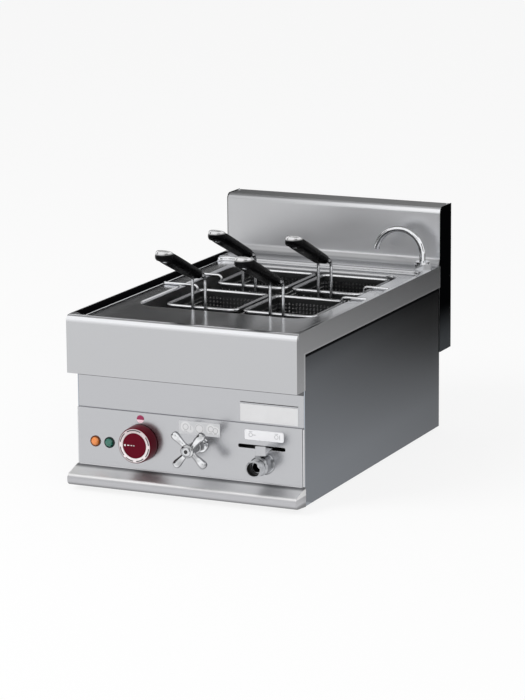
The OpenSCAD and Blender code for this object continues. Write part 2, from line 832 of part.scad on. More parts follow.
module false_bottom() {
    plate = [well_w - 2 * grid_gap, well_l - 2 * grid_gap];
    columns = floor((plate[0] - grid_pitch) / grid_pitch / 2);
    rows = floor((plate[1] - grid_pitch) / grid_pitch / 2);
    color(steel) placed() {
        translate([0, well_y, grid_z - grid_t]) linear_extrude(grid_t) difference() {
            rounded_rect(plate[0], plate[1], well_corner - grid_gap);
            for (column = [-columns:columns], row = [-rows:rows])
                translate([column * grid_pitch, row * grid_pitch]) circle(grid_hole_r, $fn = 24);
        }
        // Turned-down edges that stand on the well's floor
        for (side = [-1, 1])
            translate([side * (plate[0] - grid_t) / 2, well_y, (well_z + grid_z - grid_t) / 2])
                cube([grid_t, plate[1] - 2 * well_corner, grid_h - grid_t], center = true);
    }
}

// Drain

module drain_elbow() {
    bend_y = drain_hole_y - drain_bend;
    bend_z = drain_z + drain_bend;
    color(chrome) placed() translate([drain_x, 0, 0]) difference() {
        union() {
            drain_run(drain_pipe_r, 0);
            // Welded collar under the well
            translate([0, drain_hole_y, well_z - sheet_t - collar_t])
                cylinder(r = drain_pipe_r + weld_collar, h = collar_t);
        }
        drain_run(drain_pipe_r - sheet_t, 1);
    }
    // A straight drop, a bend and a straight run to the valve
    module drain_run(r, past) {
        drop = well_z - sheet_t - bend_z + past;
        translate([0, drain_hole_y, bend_z]) cylinder(r = r, h = drop);
        translate([0, bend_y, bend_z]) rotate([0, 90, 0]) bend(drain_bend, r, 90);
        translate([0, 0, drain_z]) rod_y(r, valve_rear - past, bend_y);
    }
}

module drain_valve_body() {
    color("#c9a75a") placed() translate([drain_x, 0, drain_z]) difference() {
        union() {
            rod_y(valve_r, valve_front + valve_hex_l, valve_rear - valve_hex_l);
            hex_y(valve_r, valve_front, valve_rear);
            translate([0, stem_y, 0]) cylinder(r = stem_r + neck_wall, h = neck_top - drain_z);
        }
        rod_y(valve_bore, valve_front - 1, valve_rear + 1);
        translate([0, stem_y, 0]) sphere(ball_r + rest_gap);
        translate([0, stem_y, 0]) cylinder(r = stem_r + run_gap, h = neck_top);
    }
}

module drain_outlet() {
    front = panel_y - outlet_reach;
    groove = front + outlet_thread_l;
    color(chrome) placed() translate([drain_x, 0, drain_z]) difference() {
        union() {
            rod_y(outlet_r, front, groove);
            rod_y(outlet_r - outlet_groove_depth, groove, groove + outlet_groove);
            rod_y(outlet_body_r, groove + outlet_groove, valve_front);
            // Collar on the panel's face
            rod_y(outlet_body_r + outlet_collar, panel_y - collar_t, panel_y);
        }
        rod_y(outlet_bore, front - 1, valve_front + 1);
    }
}

module valve_ball() {
    color(chrome) placed() translate([drain_x, stem_y, drain_z]) rotate(90) difference() {
        sphere(ball_r);
        rod_y(valve_bore, -ball_r - 1, ball_r + 1);
        translate([-ball_r, -ball_r, ball_top]) cube(2 * ball_r);
    }
}

module valve_stem() {
    color(chrome) placed() translate([drain_x, stem_y, drain_z + ball_top])
        cylinder(r = stem_r, h = lever_rise + lever_t / 2 + stem_proud - ball_top);
}

module drain_lever() {
    length = stem_setback + lever_reach;
    color(steel) placed() translate([drain_x, stem_y, lever_z]) rotate(lever_rest) {
        translate([0, 0, -lever_t / 2]) linear_extrude(lever_t) difference() {
            union() {
                circle(lever_w / 2 + lever_boss);
                translate([-lever_w / 2, -length]) square([lever_w, length]);
            }
            circle(stem_r + weld_gap);
        }
        // Turned-up end
        translate([-lever_w / 2, -length, lever_t / 2]) cube([lever_w, lever_t, lever_tab]);
    }
}

// Water supply

module water_valve() {
    color("#c9a75a") placed() translate([tap_x, 0, tap_z]) difference() {
        union() {
            rod_y(tap_valve_r, panel_y + sheet_t, tap_valve_rear);
            rod_y(tap_hub_r, panel_y, panel_y + sheet_t);
            translate([0, tap_branch_y, 0])
                cylinder(r = pipe_r + pipe_socket, h = tap_valve_r + tap_branch_h);
        }
        rod_y(spindle_r + run_gap, panel_y - 1, tap_branch_y);
    }
}

module tap_bonnet() {
    front = tap_arm_y + tap_hub_rear + tap_gap;
    color(chrome) placed() translate([tap_x, 0, tap_z]) difference() {
        union() {
            rod_y(tap_hub_r + tap_collar, panel_y - collar_t, panel_y);
            rod_y(tap_hub_r - bonnet_step, front, panel_y - collar_t);
        }
        rod_y(spindle_r + run_gap, front - 1, panel_y + 1);
    }
}

module tap_spindle() {
    color(chrome) placed() translate([tap_x, 0, tap_z])
        rod_y(spindle_r, tap_arm_y - spindle_lap, tap_branch_y - spindle_lap);
}

module tap_handle() {
    color(chrome) placed() translate([tap_x, 0, tap_z]) difference() {
        union() {
            rod_y(tap_hub_r, tap_front + tap_cap_t, tap_arm_y + tap_hub_rear);
            for (arm = [0:3])
                translate([0, tap_arm_y, 0]) rotate([0, tap_turn + arm * 90, 0]) {
                    cylinder(r1 = tap_arm_root * tap_arm_r, r2 = tap_arm_r, h = tap_arm - tap_arm_edge);
                    translate([0, 0, tap_arm - tap_arm_edge])
                        cylinder(r1 = tap_arm_r, r2 = tap_arm_r - tap_arm_edge, h = tap_arm_edge);
                }
        }
        rod_y(spindle_r + weld_gap, tap_arm_y - spindle_lap, tap_arm_y + tap_hub_rear + 1);
    }
}

module tap_cap() {
    color(black) placed() translate([tap_x, tap_front, tap_z])
        rotate([-90, 0, 0]) cylinder(r1 = tap_cap_r - tap_cap_t / 2, r2 = tap_cap_r, h = tap_cap_t);
}

module feed_pipe() {
    color("#b87548") placed() translate([tap_x, 0, tap_z])
        rod_y(pipe_r, tap_valve_rear, inlet_joint + inlet_lap);
}

module inlet_fitting() {
    color("#c9a75a") placed() translate([tap_x, 0, tap_z]) difference() {
        union() {
            hex_y(inlet_r + inlet_collar, top_d, top_d + inlet_hex_l);
            rod_y(inlet_r, top_d + inlet_hex_l, top_d + inlet_hex_l + inlet_l);
            rod_y(inlet_neck_r, inlet_joint, top_d);
        }
        rod_y(pipe_r + weld_gap, inlet_joint - 1, top_d + inlet_hex_l + inlet_l + 1);
    }
}

// Pipe from the water valve up, across behind the panel, back along the well and up to the spout
module spout_pipe() {
    start = tap_z + tap_valve_r + tap_branch_h;
    rise = pipe_cross_z - pipe_bend;
    color("#b87548") placed() {
        translate([tap_x, tap_branch_y, start]) cylinder(r = pipe_r, h = rise - start);
        translate([tap_x + pipe_bend, tap_branch_y, rise]) rotate([90, 0, 180])
            bend(pipe_bend, pipe_r, 90);
        translate([tap_x + pipe_bend, tap_branch_y, pipe_cross_z]) rotate([0, 90, 0])
            cylinder(r = pipe_r, h = spout_x - tap_x - 2 * pipe_bend);
        translate([spout_x - pipe_bend, tap_branch_y + pipe_bend, pipe_cross_z])
            rotate(-90) bend(pipe_bend, pipe_r, 90);
        translate([spout_x, 0, pipe_cross_z])
            rod_y(pipe_r, tap_branch_y + pipe_bend, spout_y - pipe_bend);
        translate([spout_x, spout_y - pipe_bend, pipe_cross_z + pipe_bend])
            rotate([0, 90, 0]) bend(pipe_bend, pipe_r, 90);
        translate([spout_x, spout_y, pipe_cross_z + pipe_bend])
            cylinder(r = pipe_r, h = body_h - pipe_cross_z - pipe_bend);
    }
}

module spout_nut() {
    color(chrome) placed() translate([spout_x, spout_y, body_h]) difference() {
        union() {
            cylinder(d = nut_w, h = nut_h - nut_collar_h, $fn = 6);
            cylinder(d = nut_collar_share * nut_w, h = nut_h);
        }
        translate([0, 0, -1]) cylinder(r = pipe_r + run_gap, h = nut_h + 2);
    }
}

module spout() {
    start = rest_gap;
    color(chrome) placed() translate([spout_x, spout_y, body_h]) difference() {
        spout_run(pipe_r, 0);
        spout_run(spout_bore, 1);
    }
    // Straight rise out of the nut, then the bend over to the left
    module spout_run(r, past) {
        translate([0, 0, start - past]) cylinder(r = r, h = spout_rise - start + past);
        translate([-spout_bend, 0, spout_rise]) rotate([90, 0, 0])
            rotate_extrude(angle = spout_sweep + past) translate([spout_bend, 0]) circle(r);
    }
}

// Controls

module lamp(x, tint) {
    color(tint) placed() translate([x, 0, lamp_z]) {
        rod_y(lamp_r, panel_y - bezel_w, panel_y);
        rod_y(lamp_r - bezel_w, panel_y, panel_y + lamp_body_l);
        translate([0, panel_y - bezel_w, 0]) rotate([90, 0, 0])
            cylinder(r1 = lamp_r - bezel_w, r2 = lamp_r - 2 * bezel_w, h = lens_h);
    }
}

module thermostat() {
    color(black) placed() difference() {
        translate([knob_x - thermostat_size[0] / 2, panel_y + sheet_t, knob_z - thermostat_size[2] / 2])
            cube(thermostat_size);
        translate([knob_x, 0, knob_z])
            rod_y(shaft_r + run_gap, panel_y, panel_y + thermostat_size[1] - bearing_end);
    }
}

module thermostat_shaft() {
    color(chrome) placed() translate([knob_x, 0, knob_z])
        rod_y(shaft_r, knob_front + knob_front_t, panel_y + thermostat_size[1] - bearing_end - rest_gap);
}

module knob() {
    color("#7a1024") placed() translate([knob_x, 0, knob_z]) difference() {
        translate([0, knob_rear, 0]) rotate([90, 0, 0])
            cylinder(r1 = knob_r, r2 = knob_front_r, h = knob_l);
        // Seat of the dial ring
        difference() {
            rod_y(knob_front_r - dial_edge, knob_front - 1, knob_front + dial_t);
            rod_y(knob_face_r, knob_front - 2, knob_front + dial_t + 1);
        }
        rod_y(shaft_r + weld_gap, knob_front + knob_front_t, knob_rear + 1);
    }
}

module knob_dial() {
    color("white") placed() translate([knob_x, 0, knob_z]) difference() {
        rod_y(knob_front_r - dial_edge - weld_gap, knob_front, knob_front + dial_t);
        rod_y(knob_face_r + weld_gap, knob_front - 1, knob_front + dial_t + 1);
    }
}

module index_spot() {
    color("#8a1530") placed() translate([knob_x, 0, knob_z + knob_r + index_r + index_gap])
        rod_y(index_r, panel_y - plate_t, panel_y);
}

// Label of a given size with rounded corners, whose back lies on the plane y
module label(x, y, z, size, corner) {
    translate([x, y, z]) rotate([90, 0, 0]) linear_extrude(plate_t)
        rounded_rect(size[0], size[1], corner);
}

module name_plate() {
    middle_z = panel_top + name_plate_gap + name_plate_size[1] / 2;
    color("white") placed()
        label(drain_x + name_plate_shift, apron_d, middle_z, name_plate_size, label_corner / 3);
}

module tap_label() {
    middle_z = panel_top - tap_label_gap - tap_label_size[1] / 2;
    color("white") placed() difference() {
        label(tap_x - tap_label_shift, panel_y, middle_z, tap_label_size, label_corner);
        translate([tap_x, 0, tap_z])
            rod_y(tap_hub_r + tap_collar + rest_gap, panel_y - 2 * plate_t, panel_y + plate_t);
    }
}

module drain_label() {
    middle_z = lever_z + slot_h / 2 + drain_label_gap + drain_label_size[1] / 2;
    color("white") placed() label(drain_x, panel_y, middle_z, drain_label_size, label_corner);
}

// Inner parts

module component_tray() {
    color(steel) placed() {
        translate([-inner_x, tray_y, sheet_t]) cube([inner_x - tray_end, sheet_t, tray_h]);
        translate([-inner_x, tray_y, sheet_t]) cube([inner_x - tray_end, tray_foot, sheet_t]);
    }
}

module contactor() {
    color(black) placed()
        translate([-inner_x + contactor_inset, tray_y - contactor_size[1], contactor_z])
            cube(contactor_size);
}

module safety_thermostat() {
    color(black) placed()
        translate([knob_x - safety_shift, tray_y - safety_size[1], safety_z]) cube(safety_size);
}

module terminal_block() {
    color("#d8d4c4") placed()
        translate([gland_x - terminal_size[0] / 2, top_d - terminal_gap - terminal_size[1], sheet_t])
            cube(terminal_size);
}

module cable_gland() {
    rear = top_d + gland_hex_l + gland_nut_l;
    color(black) placed() translate([gland_x, 0, gland_z]) difference() {
        union() {
            hex_y(gland_bore + gland_hex_wall, top_d, top_d + gland_hex_l);
            rod_y(gland_bore + gland_nut_wall, top_d + gland_hex_l, rear);
            rod_y(gland_bore + gland_wall, top_d - neck_l, top_d);
        }
        rod_y(gland_bore, top_d - neck_l - 1, rear + 1);
    }
}

// Baskets. Column is -1 for left and 1 for right, row is 0 for front and 1 for rear.

module basket_place(column, row) {
    y = well_front + basket_front_gap + basket_l / 2 + row * basket_pitch_y;
    placed() translate([column * basket_pitch_x / 2 + basket_shift, y, 0]) children();
}

module basket_shell(column, row) {
    color(dark_steel) basket_place(column, row) difference() {
        translate([0, 0, basket_z]) linear_extrude(rim_z - basket_z)
            rounded_rect(shell_w, shell_l, shell_corner);
        translate([0, 0, basket_z + basket_t]) linear_extrude(rim_z - basket_z)
            rounded_rect(shell_w - 2 * basket_t, shell_l - 2 * basket_t, shell_corner - basket_t);
    }
}

module basket_frame(column, row) {
    hook_y = (row == 0 ? 1 : -1) * (basket_l / 2 - hook_offset);
    start_x = basket_pitch_x / 2 + column * basket_shift + rim_path[0] / 2 + hook_bend;
    hook_l = hook_reach - start_x - wire_r;
    color(chrome) basket_place(column, row) {
        translate([0, 0, rim_z]) ring_sweep(rim_path[0], rim_path[1], rim_corner) circle(rim_r);
        // Hook over the well's edge
        translate([column * rim_path[0] / 2, hook_y, 0]) mirror([column > 0 ? 0 : 1, 0, 0]) {
            translate([0, 0, rim_z]) cylinder(r = wire_r, h = hook_z - hook_bend - rim_z);
            translate([hook_bend, 0, hook_z - hook_bend]) rotate([90, 0, 180])
                bend(hook_bend, wire_r, 90);
            translate([hook_bend, 0, hook_z]) rotate([0, 90, 0]) cylinder(r = wire_r, h = hook_l);
            translate([hook_bend + hook_l, 0, hook_z]) sphere(wire_r);
        }
        // Legs of the handle, bent forward into the grip
        for (side = [-1, 1]) translate([side * leg_span / 2, leg_y, rim_z]) {
            translate([0, 0, -leg_tail]) cylinder(r = wire_r, h = leg_rise + leg_tail);
            translate([0, -leg_bend, leg_rise]) rotate([90, 0, 90]) bend(leg_bend, wire_r, grip_turn);
            // Ferrule at the end of the bend, and the wire's end inside the grip
            grip_start() {
                rod_y(ferrule_r, -ferrule_l, ferrule_lap);
                rod_y(wire_r, -ferrule_l - grip_socket, -ferrule_l / 2);
            }
        }
    }
}

// Moves from a leg's foot to the end of its bend, with -y along the grip
module grip_start() {
    translate([0, -leg_bend * (1 - cos(grip_turn)), leg_rise + leg_bend * sin(grip_turn)])
        rotate([-grip_angle, 0, 0]) children();
}

// Half of the grip's rounded section, to revolve for its tip
module grip_half_section() {
    intersection() {
        rounded_rect(grip_w, grip_t, grip_edge);
        translate([0, -grip_t]) square([grip_w, 2 * grip_t]);
    }
}

module basket_grip(column, row) {
    straight = grip_l - grip_w / 2;
    color(black) basket_place(column, row) translate([0, leg_y, rim_z]) grip_start()
        translate([0, -ferrule_l, 0]) difference() {
            union() {
                rotate([90, 0, 0]) linear_extrude(straight) rounded_rect(grip_w, grip_t, grip_edge);
                translate([0, -straight, 0]) rotate(180) rotate_extrude(angle = 180) grip_half_section();
            }
            for (side = [-1, 1])
                translate([side * leg_span / 2, 0, 0])
                    rod_y(wire_r + weld_gap, -grip_socket - weld_gap, 1);
        }
}

worktop();
tank();
side_panel(-1);  // left_side_panel
side_panel(1);  // right_side_panel
front_strip();
control_panel();
base_ledge();
base_plate();
rear_panel();
splashback();
splashback_ends();
feet();
heating_element();
element_flange();
thermostat_pocket();
false_bottom();
drain_elbow();
drain_valve_body();
drain_outlet();
water_valve();
tap_bonnet();
feed_pipe();
spout_pipe();
inlet_fitting();
spout_nut();
lamp(lamp_x[0], "orange");  // orange_lamp
lamp(lamp_x[1], "seagreen");  // green_lamp
thermostat();
safety_thermostat();
contactor();
terminal_block();
component_tray();
cable_gland();
name_plate();
tap_label();
drain_label();
index_spot();
thermostat_shaft();
knob();
knob_dial();
tap_spindle();
tap_handle();
tap_cap();
valve_stem();
valve_ball();
drain_lever();
spout();
basket_shell(-1, 0);  // front_left_shell
basket_frame(-1, 0);  // front_left_frame
basket_grip(-1, 0);  // front_left_grip
basket_shell(1, 0);  // front_right_shell
basket_frame(1, 0);  // front_right_frame
basket_grip(1, 0);  // front_right_grip
basket_shell(-1, 1);  // rear_left_shell
basket_frame(-1, 1);  // rear_left_frame
basket_grip(-1, 1);  // rear_left_grip
basket_shell(1, 1);  // rear_right_shell
basket_frame(1, 1);  // rear_right_frame
basket_grip(1, 1);  // rear_right_grip
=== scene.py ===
"""Studio scene of a counter-top pasta cooker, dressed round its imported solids."""
import logging
import math
from dataclasses import dataclass
from enum import Enum
from typing import Any, Callable, Sequence

import bpy
from mathutils import Euler, Matrix, Vector


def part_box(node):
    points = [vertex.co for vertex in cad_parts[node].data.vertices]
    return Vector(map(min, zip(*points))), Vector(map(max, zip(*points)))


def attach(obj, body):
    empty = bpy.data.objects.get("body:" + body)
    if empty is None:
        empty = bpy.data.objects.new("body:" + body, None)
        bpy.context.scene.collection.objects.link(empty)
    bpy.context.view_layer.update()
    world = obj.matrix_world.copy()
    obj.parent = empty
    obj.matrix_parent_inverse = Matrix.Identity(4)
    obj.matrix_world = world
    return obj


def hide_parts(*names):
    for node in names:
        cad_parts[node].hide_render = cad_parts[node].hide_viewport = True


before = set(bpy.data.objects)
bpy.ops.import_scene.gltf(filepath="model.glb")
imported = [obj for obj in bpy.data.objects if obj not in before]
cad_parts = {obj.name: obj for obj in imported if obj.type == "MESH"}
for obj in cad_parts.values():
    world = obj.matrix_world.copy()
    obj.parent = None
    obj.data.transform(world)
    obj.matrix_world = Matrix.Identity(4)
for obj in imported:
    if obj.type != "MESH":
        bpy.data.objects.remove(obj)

LOG = logging.getLogger("pasta_cooker")
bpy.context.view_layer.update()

Colour = tuple[float, float, float]
# Along or about x, y and z: a place, a size, and a turn in degrees
Place = tuple[float, float, float]
Size = tuple[float, float, float]
Turn = tuple[float, float, float]
# Where a tone changes, and how wide the change is
Edge = tuple[float, float]
# Where a stretch starts and ends, and how wide its two edges are
Band = tuple[float, float, float]

MM = 0.001
# Corners this close are merged, and places this close count as one, in metres
MERGE = 1e-6
NEAR = 1e-5
# Cosine above which two directions count as parallel
PARALLEL = 0.9
# Turns that point a shape's top at the front or at the rear
FRONT: Turn = (90, 0, 0)
REAR: Turn = (-90, 0, 0)
NEAR_BLACK: Colour = (0.003, 0.003, 0.0035)


# Shader maths


class Wire:
    """An output socket of a shader node that takes part in arithmetic."""

    def __init__(self, board: "Board", socket: bpy.types.NodeSocket) -> None:
        """Keep the socket and the board that its node lies on."""
        self.board = board
        self.socket = socket

    def apply(self, operation: str, *others: Any) -> "Wire":
        """Any operation of the Math node, with this value first."""
        return self.board.maths(operation, self, *others)

    def __add__(self, other: Any) -> "Wire":
        """Sum."""
        return self.apply("ADD", other)

    def __sub__(self, other: Any) -> "Wire":
        """Difference."""
        return self.apply("SUBTRACT", other)

    def __rsub__(self, other: Any) -> "Wire":
        """Difference from a number."""
        return self.board.maths("SUBTRACT", other, self)

    def __mul__(self, other: Any) -> "Wire":
        """Product."""
        return self.apply("MULTIPLY", other)

    def __truediv__(self, other: Any) -> "Wire":
        """Quotient."""
        return self.apply("DIVIDE", other)

    def __rtruediv__(self, other: Any) -> "Wire":
        """Quotient of a number and this value."""
        return self.board.maths("DIVIDE", other, self)

    __radd__ = __add__
    __rmul__ = __mul__

    def capped(self) -> "Wire":
        """The value, at most one."""
        return self.apply("MINIMUM", 1.0)

    def step(self, at: float, soft: float) -> "Wire":
        """A smooth step from zero to one, soft wide, centred on a value."""
        limits = {"Value": self, "From Min": at - soft / 2, "From Max": at + soft / 2}
        return self.board.add("ShaderNodeMapRange", {"interpolation_type": "SMOOTHSTEP"}, limits)

    def band(self, low: float, high: float, soft: float) -> "Wire":
        """One between two limits, with edges that are soft wide."""
        return self.step(low, soft) * (1 - self.step(high, soft))


class Board:
    """The node tree of one material or world."""

    def __init__(self, tree: bpy.types.NodeTree) -> None:
        """Start from an empty tree.

        Args:
            tree: The node tree, which is cleared.
        """
        tree.nodes.clear()
        self.tree = tree
        # Mask of the painted shade: near-black matt laid where shade falls
        self.painted_shade: Wire | None = None

    def node(self, kind: str, settings: dict[str, Any], sockets: dict[Any, Any]) -> bpy.types.Node:
        """Add a node.

        Args:
            kind: Type of the node.
            settings: Attributes of the node.
            sockets: Values or wires of its inputs, by name or number.

        Returns:
            The node.
        """
        node = self.tree.nodes.new(kind)
        for name, value in settings.items():
            setattr(node, name, value)
        for name, value in sockets.items():
            if isinstance(value, Wire):
                self.tree.links.new(value.socket, node.inputs[name])
            else:
                node.inputs[name].default_value = value
        return node

    def add(self, kind: str, settings: dict[str, Any], sockets: dict[Any, Any], output: Any = 0) -> Wire:
        """Add a node and take one of its outputs, by name or number."""
        return Wire(self, self.node(kind, settings, sockets).outputs[output])

    def maths(self, operation: str, *values: Any) -> Wire:
        """Add a Math node with its inputs in order, wires or numbers."""
        return self.add("ShaderNodeMath", {"operation": operation}, dict(enumerate(values)))

    def place(self) -> Wire:
        """Object coordinates of the shaded point."""
        return self.add("ShaderNodeTexCoord", {}, {}, "Object")

    def moved(self, centre: Place = (0, 0, 0), scale: Size = (1, 1, 1)) -> Wire:
        """Object coordinates with a new origin, stretched along the axes.

        Args:
            centre: The new origin.
            scale: Stretch along x, y and z.

        Returns:
            The new coordinates.
        """
        kind = "ShaderNodeVectorMath"
        shifted = self.add(kind, {"operation": "SUBTRACT"}, {0: self.place(), 1: centre})
        return self.add(kind, {"operation": "MULTIPLY"}, {0: shifted, 1: scale})

    def axes(self, vector: Wire) -> tuple[Wire, ...]:
        """The three parts of a vector."""
        node = self.node("ShaderNodeSeparateXYZ", {}, {0: vector})
        return tuple(Wire(self, output) for output in node.outputs)

    def noise(self, vector: Wire, scale: float, detail: float = 3.0, rough: float = 0.55) -> Wire:
        """Noise between zero and one."""
        sockets = {"Vector": vector, "Scale": scale, "Detail": detail, "Roughness": rough}
        return self.add("ShaderNodeTexNoise", {}, sockets)

    @staticmethod
    def opaque(colour: Any) -> Any:
        """A colour with its alpha, or a wire as it is."""
        return colour if isinstance(colour, Wire) else (*colour, 1.0)

    def mix(self, factor: Wire, first: Any, second: Any) -> Wire:
        """Colour between two colours or wires, the second where the factor is one."""
        sockets = {0: factor, 6: self.opaque(first), 7: self.opaque(second)}
        return self.add("ShaderNodeMix", {"data_type": "RGBA"}, sockets, 2)

    def bump(self, height: Wire, strength: float, distance: float) -> Wire:
        """Normal that follows a height."""
        sockets = {"Height": height, "Strength": strength, "Distance": distance}
        return self.add("ShaderNodeBump", {}, sockets)

    def close(self, shader: Wire) -> None:
        """Join a shader to the material's output."""
        self.node("ShaderNodeOutputMaterial", {}, {0: shader})

    def cover(self, shader: Wire) -> Wire:
        """Lay the board's painted shade, a near-black matt cover, over a shader, if one is set.

        Args:
            shader: The shader.

        Returns:
            The shader, with the painted shade over part of it.
        """
        if self.painted_shade is None:
            return shader
        matt = self.add("ShaderNodeBsdfDiffuse", {}, {"Color": self.opaque(NEAR_BLACK)})
        return self.add("ShaderNodeMixShader", {}, {0: self.painted_shade, 1: shader, 2: matt})

    def surface(self, **sockets: Any) -> None:
        """Finish the material with one Principled shader, underscores for spaces in its sockets' names."""
        named = {name.replace("_", " "): value for name, value in sockets.items()}
        self.close(self.cover(self.add("ShaderNodeBsdfPrincipled", {}, named)))


def blank(name: str) -> bpy.types.Material:
    """Add a material that is made of nodes.

    Args:
        name: Name of the finish.

    Returns:
        The material.
    """
    material = bpy.data.materials.new("finish_" + name)
    material.use_nodes = True
    return material


def scaled(colour: Colour, part: float, lightest: float = 0.98) -> Colour:
    """A colour made darker or lighter, up to a limit."""
    return tuple(min(lightest, c * part) for c in colour)


# Finishes


class Grain(Enum):
    """Direction in which sheet metal is brushed, as the stretch of its noise in x, y and z."""

    ACROSS = (5.0, 700.0, 700.0)
    ALONG = (700.0, 5.0, 700.0)
    UPRIGHT = (700.0, 700.0, 5.0)
    EVEN = (160.0, 160.0, 160.0)


@dataclass(frozen=True)
class Finish:
    """A surface finish with its own material."""

    name: str

    def material(self) -> bpy.types.Material:
        """The finish's material, built the first time it is asked for.

        Returns:
            The material.
        """
        found = bpy.data.materials.get("finish_" + self.name)
        if found is None:
            found = blank(self.name)
            self.draw(Board(found.node_tree))
        return found

    def draw(self, board: Board) -> None:
        """Build the finish's nodes."""
        raise NotImplementedError


@dataclass(frozen=True)
class SheetSteel(Finish):
    """Brushed stainless sheet with faint streaks and wiped patches."""

    tint: Colour = (0.53, 0.535, 0.55)
    roughness: float = 0.3
    grain: Grain = Grain.ACROSS
    streak: float = 0.04
    streak_part: float = 0.55
    streak_dulling: float = 0.08
    streak_relief: tuple[float, float] = (0.02, 0.0004)
    patch_scale: float = 7.0
    patch_dulling: float = 0.05

    def draw(self, board: Board) -> None:
        """Streaks along the grain, and wide patches where the sheet was wiped.

        Args:
            board: The material's empty board.
        """
        streaks = board.noise(board.moved(scale=self.grain.value), scale=1.0, detail=5.0, rough=0.6)
        wiped = board.noise(board.place(), self.patch_scale, rough=0.5)
        tone = streaks * self.streak_part + wiped * (1 - self.streak_part)
        colour = board.mix(tone, self.share(1 - self.streak), self.share(1 + self.streak))
        rough = self.roughness + (streaks - 0.5) * self.streak_dulling
        board.surface(
            Base_Color=self.toned(board, colour),
            Metallic=1.0,
            Roughness=rough + (wiped - 0.5) * self.patch_dulling,
            Normal=board.bump(streaks, *self.streak_relief),
        )

    def toned(self, board: Board, colour: Wire) -> Wire:
        """The sheet's colour with any change of tone over the sheet."""
        return colour

    def share(self, part: float) -> Colour:
        """The sheet's tint made darker or lighter."""
        return scaled(self.tint, part)


@dataclass(frozen=True)
class StripSteel(SheetSteel):
    """Sheet with a painted shadow line under the edge above it."""

    # Painted shadow line under the apron: its foot and the width of its edge
    line: Edge = (0.182, 0.0008)
    shadow_line_tone: float = 0.25

    def toned(self, board: Board, colour: Wire) -> Wire:
        """Paint the shadow: darken the sheet from the foot of the line up."""
        _, _, z = board.axes(board.place())
        return board.mix(z.step(*self.line), colour, self.share(self.shadow_line_tone))


@dataclass(frozen=True)
class TopSteel(SheetSteel):
    """Worktop sheet with painted shade down the pressed wall at its left, painted light beside it, a painted
    sheen band, and painted highlights on its edges.
    """

    # Painted shade over the recess's left wall, where its dark reflection falls
    wall: Band = (-0.1975, -0.1878, 0.0008)
    wall_front: Edge = (-0.288, 0.002)
    # Painted light on the left of the recess floor, and a painted sheen band across it
    left: Edge = (-0.165, 0.06)
    left_painted_tone: float = 1.75
    painted_sheen: Band = (0.03, 0.085, 0.06)
    painted_sheen_rear: Edge = (-0.21, 0.1)
    painted_sheen_tone: float = 1.65
    # Painted highlights on the skirt's hem and on the apron's rounded front edge
    hem_side: Edge = (0.1985, 0.0008)
    hem_front: Edge = (-0.285, 0.004)
    hem_top: Edge = (0.2502, 0.0014)
    hem_highlight_tone: float = 1.3
    nose_rear: Edge = (-0.3035, 0.002)
    nose_foot: Edge = (0.2765, 0.006)
    nose_highlight_tone: float = 1.62

    def toned(self, board: Board, colour: Wire) -> Wire:
        """Paint shade over the recess's left wall, and paint light on the left side, a sheen band, and
        highlights on the front edge and the skirt's hem.

        Args:
            board: The material's board.
            colour: The plain sheet's colour.

        Returns:
            The toned colour.
        """
        x, y, z = board.axes(board.place())
        board.painted_shade = x.band(*self.wall) * y.step(*self.wall_front)
        inner = y.step(*self.nose_rear)
        painted_sheen = x.band(*self.painted_sheen) * (1 - y.step(*self.painted_sheen_rear)) * inner
        hem = x.step(*self.hem_side) * y.step(*self.hem_front) * (1 - z.step(*self.hem_top))
        lighter = (
            ((1 - x.step(*self.left)) * inner, self.left_painted_tone),
            (painted_sheen, self.painted_sheen_tone),
            (hem, self.hem_highlight_tone),
            ((1 - inner) * z.step(*self.nose_foot), self.nose_highlight_tone),
        )
        for mask, tone in lighter:
            colour = board.mix(mask, colour, self.share(tone))
        return colour


@dataclass(frozen=True)
class LedgeSteel(SheetSteel):
    """Ledge sheet with a painted highlight at the top of its nose, and painted shade at its foot and along
    the panel.
    """

    foot_shade_tone: float = 0.4
    # Edges where the next painted tone starts, from the foot up; a tone of 1 is the plain sheet
    painted_tones: tuple[tuple[Edge, float], ...] = (
        ((0.0125, 0.006), 1.0), ((0.0238, 0.003), 1.8), ((0.0338, 0.0025), 0.5),
    )

    def toned(self, board: Board, colour: Wire) -> Wire:
        """Paint light and shade that change with the height.

        Args:
            board: The material's board.
            colour: The plain sheet's colour.

        Returns:
            The toned colour.
        """
        _, _, z = board.axes(board.place())
        shade: Any = self.share(self.foot_shade_tone)
        for edge, tone in self.painted_tones:
            shade = board.mix(z.step(*edge), shade, colour if tone == 1.0 else self.share(tone))
        return shade


@dataclass(frozen=True)
class SplashSteel(SheetSteel):
    """Splashback sheet with painted light towards its right and its foot, and painted shade at its left, in
    the cove and on top.
    """

    # Painted shade at the left, painted light at the right and the foot, painted shade in the cove and on
    # top
    left: Edge = (-0.09, 0.16)
    left_painted_tone: float = 0.86
    right: Edge = (0.05, 0.3)
    foot: Edge = (0.322, 0.05)
    foot_left: Edge = (-0.03, 0.12)
    foot_part: float = 0.8
    painted_light_tone: float = 1.5
    cove: Edge = (0.2962, 0.003)
    cove_shade_tone: float = 0.66
    top: Edge = (0.3843, 0.0008)
    top_shade_tone: float = 0.35

    def toned(self, board: Board, colour: Wire) -> Wire:
        """Paint light and shade across the sheet and with its height.

        Args:
            board: The material's board.
            colour: The plain sheet's colour.

        Returns:
            The toned colour.
        """
        x, _, z = board.axes(board.place())
        colour = board.mix(x.step(*self.left), self.share(self.left_painted_tone), colour)
        foot = (1 - z.step(*self.foot)) * x.step(*self.foot_left)
        lit = (x.step(*self.right) + foot * self.foot_part).capped()
        colour = board.mix(lit, colour, self.share(self.painted_light_tone))
        colour = board.mix(z.step(*self.cove), self.share(self.cove_shade_tone), colour)
        return board.mix(z.step(*self.top), colour, self.share(self.top_shade_tone))


